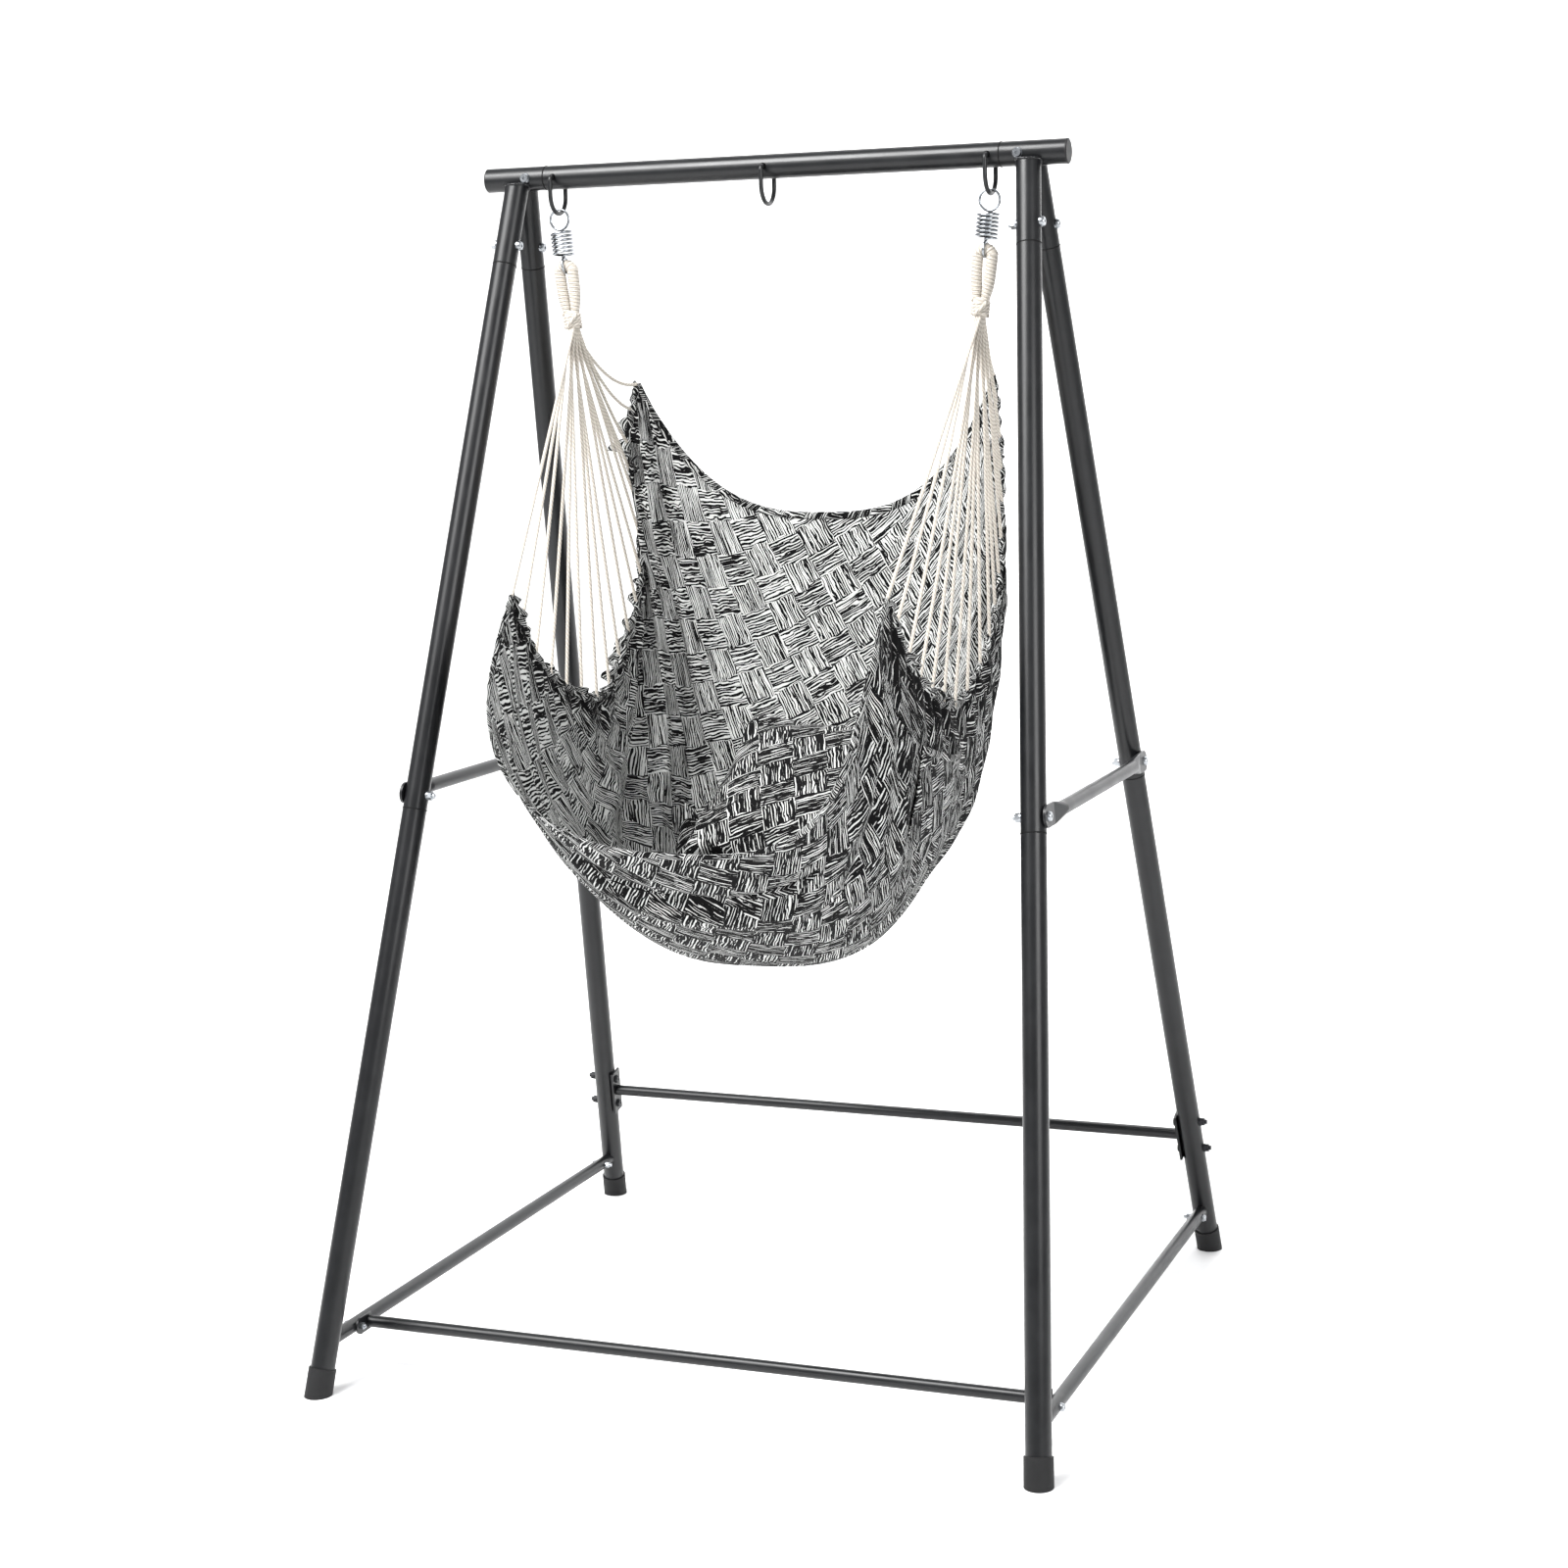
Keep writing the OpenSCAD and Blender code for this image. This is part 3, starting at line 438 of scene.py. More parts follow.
# Hems and frills crowd the black threads together, so they read darker than the rest
trim_cloth = woven_cotton("jacquard cotton hems and frills",
                          "#080809", "#cfd0ce", 0.70, 0.04, 40, 4.4 * MM)
# Twisted undyed cotton of the suspension cords
cord_cotton = cotton_cord("twisted undyed cotton", 3, 22 * MM)
# The same cotton wound round the rope eyes
wound_cotton = cotton_cord("wound undyed cotton", 2, 14 * MM)

FINISH = {
    "black_powder_coat": powder_coat, "satin_black_bars": lit_bar_coat, "black_rod": rod_coat,
    "black_plastic": moulded_plastic, "black_rubber": foot_rubber, "zinc_fasteners": zinc_plate,
    "zinc_spring_wire": spring_wire, "cotton_cord": cord_cotton, "woven_seat_fabric": dark_face,
    "woven_pocket_fabric": dark_face, "cushion_fabric": pillow_cloth, "pillow_fabric": pillow_cloth,
}


BLACKENED = ("bracket_bolts", "bracket_nuts")


def paint_fixed_parts():
    """Gives every carried-over part the finish of its slot in the record; the fasteners of the
    back bar's plates are blackened."""
    for part in frame["record"]["subparts"]:
        finish = FINISH[part["material_slot"]]
        if finish is zinc_plate and part["node"] in BLACKENED:
            finish = black_zinc
        mesh = nodes[part["node"]].data
        mesh.materials.clear()
        mesh.materials.append(finish)


paint_fixed_parts()


# ---- Painted seam shadows and weld beads of the frame ----

def ring_at(name, centre, ahead, radius, wire, material):
    """A thin ring round a tube of the stand."""
    side = unit(np.cross(ahead, [0.3, 0.9, 0.1]))
    rise = np.cross(ahead, side)
    turn = angles(72)
    hoop = centre + radius * (np.cos(turn)[:, None] * side + np.sin(turn)[:, None] * rise)
    around = angles(10)
    outward = unit(hoop - centre)
    grid = (hoop[:, None] + wire * (np.cos(around)[None, :, None] * outward[:, None]
                                    + np.sin(around)[None, :, None] * ahead))
    closed = np.concatenate([grid, grid[:1]])
    mesh_from(name, closed, material, "stand", wrap=True)


TUBE_R = 19 * MM
BEAM_Z = (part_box("beam")[0].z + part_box("beam")[1].z) / 2


def vertices_of(node):
    """A node's vertices in the shared frame."""
    part = nodes[node]
    co = np.zeros(len(part.data.vertices) * 3)
    part.data.vertices.foreach_get("co", co)
    world = np.array(part.matrix_world)
    return co.reshape(-1, 3) @ world[:3, :3].T + world[:3, 3]


def tube_line(node):
    """The axis of a rising round tube from its own mesh: the middles of its two end rings, and
    the direction from the lower one to the upper."""
    points = vertices_of(node)
    rough = np.linalg.svd(points - points.mean(0), full_matrices=False)[2][0]
    reach = points @ (rough * np.sign(rough[2]))
    rings = [points[reach < reach.min() + 2 * MM], points[reach > reach.max() - 2 * MM]]
    low, high = [(ring.min(0) + ring.max(0)) / 2 for ring in rings]
    return low, high, unit(high - low)


def make_seams():
    """A dark ring of painted gap shadow at each place where one tube slips into the next: the inner end
    of each connector, the ends of its two stubs, and the lower end of every upper leg."""
    shadow_ring = TUBE_R - 0.5 * MM, 1.2 * MM, seam_shade
    for side, hand in ((-1, "left"), (1, "right")):
        connector = vertices_of(f"{hand}_connector")
        inner = side * (side * connector[:, 0]).min()
        ring_at(f"{hand}_beam_seam_shadow", np.array([inner, 0, BEAM_Z]), np.array([1.0, 0, 0]), *shadow_ring)
        for front, end in ((-1, "front"), (1, "back")):
            low, _, ahead = tube_line(f"{end}_{hand}_upper_leg")
            stub = connector[front * connector[:, 1] > TUBE_R]
            stub_end = ((stub - low) @ ahead).min()
            ring_at(f"{end}_{hand}_stub_seam_shadow", low + ahead * stub_end, ahead, *shadow_ring)
            ring_at(f"{end}_{hand}_middle_seam_shadow", low, ahead, *shadow_ring)


def make_welds():
    """Weld beads where the stubs meet the connectors: the curve that two round tubes share. Round
    a stub at each angle, the bead lies where a line along the stub leaves the beam, or at the
    stub's flat top where that is lower."""
    turn = np.arange(97) * TAU / 96
    around = angles(8)
    for hand in ("left", "right"):
        connector = vertices_of(f"{hand}_connector")
        for front, end in ((-1, "front"), (1, "back")):
            low, _, ahead = tube_line(f"{end}_{hand}_upper_leg")
            side = unit(np.cross(ahead, [0, 1.0, 0]))
            rise = np.cross(ahead, side)
            outward = np.cos(turn)[:, None] * side + np.sin(turn)[:, None] * rise
            foot = low + TUBE_R * outward - [0, 0, BEAM_Z]
            flat_top = connector[front * connector[:, 1] > TUBE_R + MM, 2].max() - BEAM_Z
            a = ahead[1] ** 2 + ahead[2] ** 2
            b = foot[:, 1] * ahead[1] + foot[:, 2] * ahead[2]
            c = foot[:, 1] ** 2 + foot[:, 2] ** 2 - TUBE_R**2
            t = (-b - np.sqrt(np.maximum(b * b - a * c, 0))) / a
            t = np.minimum(t, (flat_top - foot[:, 2]) / ahead[2])
            curve = low + TUBE_R * outward + t[:, None] * ahead
            ripple = (1.9 + 0.25 * np.sin(22 * turn)) * MM
            grid = curve[:, None] + ripple[:, None, None] * (
                np.cos(around)[None, :, None] * outward[:, None]
                - np.sin(around)[None, :, None] * ahead)
            mesh_from(f"{end}_{hand}_weld", grid, powder_coat, "stand", wrap=True,
                      flip=True)


# ---- Where things hang: down a leaning line from where each ring bears on its bail ----

HANG_TILT = math.radians(6)
BAIL_ROD, RING_GAP = 7 * MM, 1 * MM
bail_low, bail_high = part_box("right_bail")
BAIL_X = (bail_low.x + bail_high.x) / 2
BEAR_Z = bail_low.z + BAIL_ROD + RING_GAP / 2
COIL_R, WIRE_R = 16 * MM, 2 * MM
COIL_FROM, COIL_TO = 32 * MM, 72 * MM
COIL_TURNS = 6
EYE_TOP, EYE_R, EYE_ROPE = 86.7 * MM, 11.5 * MM, 19 * MM
COLLAR_FROM, COLLAR_TO, COLLAR_D = 161.2 * MM, 189.2 * MM, 28 * MM
KNOT_X = BAIL_X - COLLAR_TO * math.sin(HANG_TILT)
KNOT_Z = BEAR_Z - COLLAR_TO * math.cos(HANG_TILT)
CORD_D = 5.5 * MM


def hang(side, p):
    """Points given beside and down the hanging line, moved to where that line is on one side."""
    c, s = math.cos(HANG_TILT), side * math.sin(HANG_TILT)
    p = np.asarray(p, float)
    x, y, z = p[..., 0], p[..., 1], p[..., 2]
    return np.stack([side * BAIL_X + x * c + z * s, y, BEAR_Z - x * s + z * c], -1)


# ---- The seat's surface ----

# Side edge from the back hem to the front hem: inset from the collar, y, depth below it
EDGE_LINE = np.array([
    [31, 175, 89], [17, 160, 195], [23, 186, 310], [27, 170, 425], [27, 98, 520],
    [36, -15, 593], [37, -135, 568], [38, -250, 505], [41, -338, 403]]) * MM
# Middle line: y, depth below the collars
MIDDLE_LINE = np.array([
    [219, 312], [226, 470], [218, 620], [188, 770], [118, 900],
    [5, 982], [-130, 1002], [-290, 915], [-425, 775]]) * MM
SAG_ROUND = np.array([1.1, 1.3, 1.6, 1.9, 2.1, 2.2, 2.3, 2.6, 3.0])
WIDTH_ROUND, SIDE_BULGE, FRONT_BULGE = 2.8, 0.03, 70 * MM


def edge(v):
    """The right side edge, v from 0 at the back hem to 1 at the front hem."""
    e = along(EDGE_LINE, v)
    return np.stack([KNOT_X - e[..., 0], e[..., 1], KNOT_Z - e[..., 2]], -1)


def seat(u, v):
    """The seat's middle surface. Across, u from -1 to 1, it is a rounded U between the two side
    edges, whose roundness changes down the seat; the front swells forward."""
    u, v = np.broadcast_arrays(np.asarray(u, float), np.asarray(v, float))
    e, m = edge(v), along(MIDDLE_LINE, v)
    low = KNOT_Z - m[..., 1]
    turn = math.pi / 2 * (1 - np.abs(np.clip(u, -1, 1)))
    reach = np.clip(np.cos(turn), 0, 1) ** (2 / WIDTH_ROUND)
    sag = np.clip(np.sin(turn), 0, 1) ** (2 / along(SAG_ROUND, v))
    swell = np.sin(math.pi * sag)
    wide = e[..., 0] * reach * (1 + SIDE_BULGE * np.sin(math.pi * v) * swell)
    y = e[..., 1] + (m[..., 0] - e[..., 1]) * sag - FRONT_BULGE * v**5 * swell
    return np.stack([np.sign(u) * wide, y, e[..., 2] + (low - e[..., 2]) * sag], -1)


def normals(grid):
    """Unit normals of a grid surface, from its steps down the rows and across the columns."""
    return unit(np.cross(np.gradient(grid, axis=0), np.gradient(grid, axis=1)))


# ---- Suspension cords ----

def cotton_tube(name, path, radius, sides, flat, finish=cord_cotton):
    """A closed cotton tube round a path, which moves with the seat."""
    grid = sweep(path, radius, sides, np.array(flat, float))
    return mesh_from(name, grid, finish, "hammock", wrap=True, caps=True)


CORD_COUNT, CORD_ROWS = 18, 3
CORD_PITCH = 0.72 * CORD_D
CORD_LAY = 22 * MM
SLACK_SAG = [28 * MM, 26 * MM, 14 * MM]
HIDDEN_IN_COLLAR = 12 * MM


def cord_route(side, number):
    """A straight line from the collar to its place on the side edge, or for the three slack ones
    on the left a parabola below that line; it starts a little way inside the collar."""
    columns = CORD_COUNT // CORD_ROWS
    start = hang(side, [CORD_PITCH * (number % CORD_ROWS - (CORD_ROWS - 1) / 2),
                        CORD_PITCH * ((columns - 1) / 2 - number // CORD_ROWS), -COLLAR_TO])
    end = edge(np.array(number / (CORD_COUNT - 1))) * [side, 1, 1]
    sag = SLACK_SAG[number] if side < 0 and number < len(SLACK_SAG) else 0
    t = np.linspace(0, 1, max(20, int(np.linalg.norm(end - start) / (3 * MM))))[:, None]
    line = start + t * (end - start) - np.array([0, 0, 4 * sag]) * t * (1 - t)
    inside = hang(side, [0, 0, -COLLAR_TO + HIDDEN_IN_COLLAR])
    lead = start + (inside - start) * np.linspace(1, 0.2, 4)[:, None] * [0.4, 0.4, 1]
    return np.vstack([lead, line])


def make_cords(side, name):
    """Each cord is a tube of three strands: its radius swells over each strand as they wind."""
    for number in range(CORD_COUNT):
        path = cord_route(side, number)
        angle = angles(12)
        wind = 1.5 * (angle[None] - TAU * run(path)[:, None] / CORD_LAY)
        radius = CORD_D / 2 * (0.87 + 0.16 * np.abs(np.cos(wind)))
        piece = cotton_tube(f"{name}_cord_{number + 1}", path, radius, 12, (1, 0, 0))
        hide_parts(f"{name}_cords")


for side, name in ((-1, "left"), (1, "right")):
    make_cords(side, name)


# ---- Springs, rope eyes and collars ----

def make_spring(side, name):
    """The coil as one wire: a helix whose two ends run in, over the last third of a turn, to
    meet the rings above and below."""
    run_in = 0.35
    turns = np.linspace(-run_in, COIL_TURNS + run_in, 44 * COIL_TURNS)
    share = np.clip(turns / COIL_TURNS, 0, 1)
    over = np.maximum(np.maximum(-turns, turns - COIL_TURNS), 0) / run_in
    radius = COIL_R * (1 - over**1.5)
    top, bottom = -COIL_FROM - WIRE_R, -COIL_TO + WIRE_R
    z = bottom + (top - bottom) * share
    z += np.sign(turns) * over**2 * 4.5 * MM
    path = hang(side, np.stack([radius * np.cos(TAU * turns), radius * np.sin(TAU * turns), z], -1))
    grid = sweep(path, WIRE_R, 14, np.array([0, 0, 1.0]))
    wire = mesh_from(f"{name}_spring_wire", grid, inner_shaded_wire, None,
                     wrap=True, caps=True)
    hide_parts(f"{name}_spring_coils")
    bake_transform(wire)


def make_eye(side, name):
    """A rope loop under the spring's lower ring, wound over with thin cord: the radius of the
    tube rises and falls once for each turn of the winding."""
    winding = 3.2 * MM
    waist = [EYE_R - 1.2 * MM, 0, -EYE_TOP - 0.62 * (COLLAR_FROM - EYE_TOP)]
    foot = [(COLLAR_D - EYE_ROPE) / 2 + 1.5 * MM, 0, -COLLAR_FROM - 5 * MM]
    arc = [[EYE_R * math.cos(a), 0, -EYE_TOP - EYE_R + EYE_R * math.sin(a)]
           for a in np.linspace(0, math.pi, 9)]
    points = [foot, waist, *arc, [-waist[0], 0, waist[2]], [-foot[0], 0, foot[2]]]
    knots = np.array(points)
    place_at = run(knots) / run(knots)[-1]
    even = np.interp(np.linspace(0, 1, 620), place_at, np.linspace(0, 1, len(knots)))
    path = along(knots, even)
    angle = angles(26)
    covered = run(path)[:, None]
    turn = covered / winding + angle[None] / TAU
    from_end = np.minimum(covered, covered[-1] - covered)
    slim = 1 - 0.28 * np.exp(-(from_end / (16 * MM)) ** 2)
    radius = EYE_ROPE / 2 * (0.88 + 0.13 * np.abs(np.sin(math.pi * turn))) * slim
    piece = cotton_tube(f"{name}_wound_eye", hang(side, path), radius, 26, (0, 1, 0), wound_cotton)
    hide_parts(f"{name}_rope_eye")


def make_collar(side, name):
    """Binding of the bundle: a cord wound in close turns round a core, one strand laid over
    them, and the core's rounded ends."""
    cord_r = 2.9 * MM
    mean_r = COLLAR_D / 2 - cord_r + 1.2 * MM
    length = COLLAR_TO - COLLAR_FROM
    turns = np.linspace(0, 4.6, 260)
    z = -COLLAR_TO + cord_r + (length - 2 * cord_r) * turns / turns[-1]
    uneven = 1 + 0.04 * np.sin(3.1 * turns)
    path = np.stack([mean_r * uneven * np.cos(TAU * turns), mean_r * 0.92 * np.sin(TAU * turns), z], -1)
    wound = cotton_tube(f"{name}_collar_binding", hang(side, path), cord_r, 14, (0, 0, 1))
    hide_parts(f"{name}_collar")
    t = np.linspace(0, 1, 60)
    out, where = mean_r + 3.4 * MM * np.sin(math.pi * t), -1.9 + 1.3 * t
    over = np.stack([out * np.cos(where), out * np.sin(where),
                     -COLLAR_TO + 4 * MM + (length - 9 * MM) * t], -1)
    cotton_tube(f"{name}_collar_tuck", hang(side, over), cord_r, 14, (0, 0, 1))
    s = np.linspace(0, 1, 14)
    core = np.stack([0 * s, 0 * s, -COLLAR_TO - 1 * MM + (length + 3 * MM) * s], -1)
    bulge = (mean_r + 0.6 * MM) * (0.72 + 0.28 * np.sin(math.pi * s) ** 0.5)
    angle = angles(24)
    strands = bulge[:, None] * (0.95 + 0.08 * np.abs(np.cos(6 * angle)))[None]
    cotton_tube(f"{name}_collar_core", hang(side, core), strands, 24, (0, 1, 0))


make_seams()
make_welds()
for side, name in ((-1, "left"), (1, "right")):
    make_spring(side, name)
    make_eye(side, name)
    make_collar(side, name)


# ---- The seat cloth ----

ACROSS, DOWN = 170, 190
CLOTH_T, SINGLE_T = 1.8 * MM, 1.6 * MM
ROW_SAMPLES = 500


def even_rows(v, count):
    """Rows of the seat at the given v, each with count points spaced evenly along its length."""
    fine = seat(np.linspace(-1, 1, ROW_SAMPLES)[None], v[:, None])
    length = run(fine.transpose(1, 0, 2)).T
    share = length / length[:, -1:]
    wanted = np.linspace(0, 1, count)
    index = np.array([np.interp(wanted, s, np.arange(ROW_SAMPLES)) for s in share])
    low = np.minimum(index.astype(int), ROW_SAMPLES - 2)
    t = (index - low)[..., None]
    rows = np.arange(len(v))[:, None]
    return fine[rows, low] * (1 - t) + fine[rows, low + 1] * t


def ridge(across, down, a, b, width, height):
    """A soft fold from a to b on the flat cloth: a bell across its line, fading at both ends."""
    ax, ay = a
    bx, by = b
    dx, dy = bx - ax, by - ay
    length2 = dx * dx + dy * dy
    t = ((across - ax) * dx + (down - ay) * dy) / length2
    off = ((across - ax) * dy - (down - ay) * dx) / math.sqrt(length2)
    fade = np.clip(np.minimum(t + 0.1, 1.1 - t) / 0.35, 0, 1)
    return height * np.exp(-(off / width) ** 2) * fade * fade * (3 - 2 * fade)


def folds(across, down, from_side, side):
    """How far the cloth stands inwards of the smooth seat: gathers that start at each cord and
    die out from the edge, long folds that fan from the corners, and slow waves."""
    gather = 7.5 * MM * np.sin(TAU * down / (31 * MM) + 1.3 * np.sin(down / (70 * MM)) + side)
    h = gather * np.exp(-from_side / (42 * MM)) * (0.75 + 0.25 * np.sin(down / (37 * MM)))
    h += 5.5 * MM * np.sin(TAU * down / (88 * MM) + 2 * side) * np.exp(-from_side / (120 * MM))
    wander = 2.5 * np.sin(down / (210 * MM))
    h += 3 * MM * np.sin(across / (61 * MM) + wander) * np.sin(down / (160 * MM))
    for a, b, width, height in FOLD_LINES:
        h += ridge(across, down, a, b, width, height)
    return h


# Long folds on the flat cloth: from, to (across from the middle, down from the back hem), width, height
FOLD_LINES = [
    ((-0.42, 0.02), (-0.17, 0.46), 0.030, 0.022), ((-0.36, 0.02), (-0.21, 0.62), 0.020, -0.024),
    ((-0.45, 0.10), (-0.27, 0.66), 0.024, 0.020), ((-0.49, 0.20), (-0.33, 0.72), 0.018, -0.020),
    ((-0.53, 0.34), (-0.38, 0.80), 0.020, 0.014), ((-0.47, 0.52), (-0.20, 0.60), 0.020, -0.012),
    ((-0.50, 0.62), (-0.28, 0.80), 0.026, 0.010), ((-0.52, 0.86), (-0.30, 0.90), 0.022, -0.010),
    ((0.44, 0.02), (0.20, 0.52), 0.026, 0.014), ((0.47, 0.15), (0.30, 0.70), 0.020, -0.014),
    ((0.50, 0.28), (0.38, 0.72), 0.018, 0.012),
    ((0.55, 1.00), (0.20, 1.06), 0.022, 0.018), ((0.55, 1.08), (0.24, 1.13), 0.020, -0.014),
    ((0.54, 0.92), (0.30, 0.94), 0.024, -0.012), ((0.55, 0.80), (0.34, 0.84), 0.020, 0.010),
    ((-0.25, 1.17), (0.24, 1.155), 0.015, 0.012), ((-0.20, 1.125), (0.20, 1.11), 0.022, -0.010),
    ((-0.53, 1.06), (-0.30, 1.02), 0.022, 0.012),
]


def make_seat_cloth():
    """The seat's one sheet, with its folds, as a grid whose places on the flat cloth are its
    distances across from the middle and down from the back hem."""
    v = np.linspace(0, 1, DOWN)
    grid = even_rows(v, ACROSS)
    width = run(grid.transpose(1, 0, 2)).T
    across = width - width[:, -1:] / 2
    down = run(grid)
    from_side = np.minimum(width, width[:, -1:] - width)
    side = np.sign(across)
    push = folds(across, down, from_side, side)
    fade = np.clip(np.minimum(np.arange(DOWN), DOWN - 1 - np.arange(DOWN)) / 5, 0, 1)[:, None]
    edge_hold = 0.35 + 0.65 * np.clip(from_side / (18 * MM), 0, 1)
    grid = grid + normals(grid) * (push * (0.25 + 0.75 * fade) * edge_hold)[..., None]
    # Painted shade in the gathers near the side edges, with their crowded pattern: the cloth's material
    # reads it to darken them
    crowding_and_shade = np.exp(-from_side / (38 * MM))
    uv = np.stack([across, down], -1)
    cloth = mesh_from("seat_cloth", grid, [dark_face, light_face], "hammock", uv=uv)
    gather = cloth.data.attributes.new("gather", "FLOAT", "POINT")
    gather.data.foreach_set("value", crowding_and_shade.astype(np.float32).ravel())
    solid = thicken(cloth, CLOTH_T)
    solid.material_offset = 1
    solid.material_offset_rim = 1
    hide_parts("seat_fabric")
    return cloth, grid, across, down


seat_cloth, seat_grid, seat_across, seat_down = make_seat_cloth()


def make_hem(name, path, flat, wide, thick, lean):
    """A rolled hem along an edge: a flattened tube whose own stripes run slantwise round it."""
    sides = 16
    grid = sweep(path, wide, sides, flat, thick / wide)
    s = run(path)[:, None]
    around = np.linspace(0, TAU * wide, sides + 1)[None]
    uv = np.stack(np.broadcast_arrays(around + lean * s, s), -1)
    return mesh_from(name, grid, trim_cloth, "hammock", wrap=True, caps=True, uv=uv)


def make_ruffle(side, name):
    """The cloth's selvedge outside the cords: a strip that goes on from the seat's surface past
    its edge, pinched at each cord and flaring between them in small frills."""
    column = seat_grid[:, -1 if side > 0 else 0]
    inner = seat_grid[:, -3 if side > 0 else 2]
    s = run(column)
    count = int(s[-1] / (1.6 * MM))
    even = np.linspace(0, s[-1], count)
    base = np.stack([np.interp(even, s, column[:, k]) for k in range(3)], -1)
    within = np.stack([np.interp(even, s, inner[:, k]) for k in range(3)], -1)
    out = unit(base - within)
    column_out = -normals(seat_grid)[:, -1 if side > 0 else 0]
    normal = unit(np.stack([np.interp(even, s, column_out[:, k]) for k in range(3)], -1))
    scallop = np.abs(np.sin(math.pi * (CORD_COUNT - 1) * even / s[-1]))
    lobes = np.clip(np.sin(even / (24 * MM) + 0.5 * np.sin(even / (60 * MM)) + 2 * side), 0, 1)
    corner = np.exp(-((even - 0.135) / 0.03) ** 2) * (side < 0)
    calm = 1 - 0.55 * np.exp(-(even / 0.42) ** 4) * (side > 0)
    tall = (12 + 5 * scallop**2 + 7 * lobes * calm + 10 * corner) * calm * MM
    w = np.linspace(0, 1, 12)[None, :, None]
    phase = TAU * even / (40 * MM) + 1.2 * np.sin(even / (51 * MM))
    frill = calm * (6 * MM * np.sin(phase) + 0.8 * MM * np.sin(2.3 * phase + 1))
    curl = ((0.35 + 0.3 * np.sin(even / (57 * MM) + side)) * calm + 0.7 * corner) * tall
    looped = (calm * 2 * MM * np.cos(phase + 0.6))[:, None] * unit(np.gradient(base, axis=0))
    tall, frill, curl = (h[:, None, None] for h in (tall, frill, curl))
    grid = (base[:, None] + out[:, None] * tall * (w - 0.3 * w**3)
            + normal[:, None] * (frill * np.sin(1.7 * w) + curl * w**1.5) + looped[:, None] * w**1.5)
    uv = np.stack(np.broadcast_arrays(w[..., 0] * 0.03, even[:, None]), -1)
    ruffle = mesh_from(f"{name}_ruffle", grid, trim_cloth, "hammock", uv=uv)
    thicken(ruffle, SINGLE_T)
    return ruffle


def make_trim():
    """Both end hems, both side hems with the cord they are sewn round, and both ruffles."""
    pieces = []
    lift = normals(seat_grid)
    for name, row in (("back_hem", 0), ("front_hem", -1)):
        pieces.append(make_hem(name, seat_grid[row], lift[row], 6.5 * MM, 2.8 * MM, 0.6))
    for side, name in ((-1, "left"), (1, "right")):
        column = 0 if side < 0 else -1
        pieces.append(make_hem(f"{name}_side_hem", seat_grid[:, column], lift[:, column],
                               5.5 * MM, 5.0 * MM, 0.5))
        pieces.append(make_ruffle(side, name))
    return pieces


trim = make_trim()


# ---- Side pocket ----

POCKET_ACROSS, POCKET_DOWN = (0.7, 0.9), (0.64, 0.81)
POCKET_STANDOFF, POCKET_BELLY = 4 * MM, 7 * MM


def make_pocket():
    """A patch on the outside of the seat's right wall: the seat's surface a little way out,
    standing off most at its open top, with a rolled hem along that top."""
    u, v = np.meshgrid(np.linspace(*POCKET_ACROSS, 30), np.linspace(*POCKET_DOWN, 34))
    under = seat(u, v)
    out = -normals(under)
    open_end = ((u - POCKET_ACROSS[0]) / np.ptp(POCKET_ACROSS))[..., None]
    belly = np.sin(math.pi * (v - POCKET_DOWN[0]) / np.ptp(POCKET_DOWN))[..., None]
    grid = under + out * (POCKET_STANDOFF + POCKET_BELLY * belly * open_end**1.5)
    uv = np.stack([run(grid.transpose(1, 0, 2)).T, run(grid)], -1)
    pocket = mesh_from("side_pocket_cloth", grid, [pillow_cloth, dark_face],
                       "hammock", uv=uv)
    thicken(pocket, SINGLE_T)
    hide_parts("side_pocket")
    top = make_hem("pocket_hem", grid[:, -1], out[:, -1], 6 * MM, 2.2 * MM, 0.5)
    flat = (float(run(grid.transpose(1, 0, 2))[-1].mean()), float(run(grid)[-1].mean()))


make_pocket()


# ---- Cushion and pillow ----

SWELL_FRAMES = 20


def swell(points, faces, cap, pressure):
    """Inflates a closed shape with simulated cloth: each point may move no further than cap from
    where it began, so the corners and the seam keep their places."""
    mesh = bpy.data.meshes.new("swelling")
    mesh.from_pydata(points.tolist(), [], faces)
    body = new_object("swelling", mesh)
    cloth = body.modifiers.new("cloth", "CLOTH")
    chosen = dict(quality=6, mass=0.3, tension_stiffness=10, compression_stiffness=10,
                  bending_stiffness=0.3, shrink_min=-0.06, use_pressure=True,
                  uniform_pressure_force=pressure)
    for key, value in chosen.items():
        setattr(cloth.settings, key, value)
    cloth.settings.effector_weights.gravity = 0
    cloth.collision_settings.use_collision = False
    cloth.point_cache.frame_start = 1
    cloth.point_cache.frame_end = SWELL_FRAMES
    for number in range(1, SWELL_FRAMES + 1):
        bpy.context.scene.frame_set(number)
    moved = body.evaluated_get(bpy.context.evaluated_depsgraph_get()).data
    after = np.zeros(points.size)
    moved.vertices.foreach_get("co", after)
    shift = after.reshape(-1, 3) - points
    size = np.linalg.norm(shift, axis=1, keepdims=True)
    shift *= np.minimum(1, cap / np.maximum(size, 1e-9))
    body.modifiers.clear()
    mesh.vertices.foreach_set("co", (points + shift).ravel())
    bpy.context.scene.frame_set(1)
    bpy.data.objects.remove(body)
    return mesh


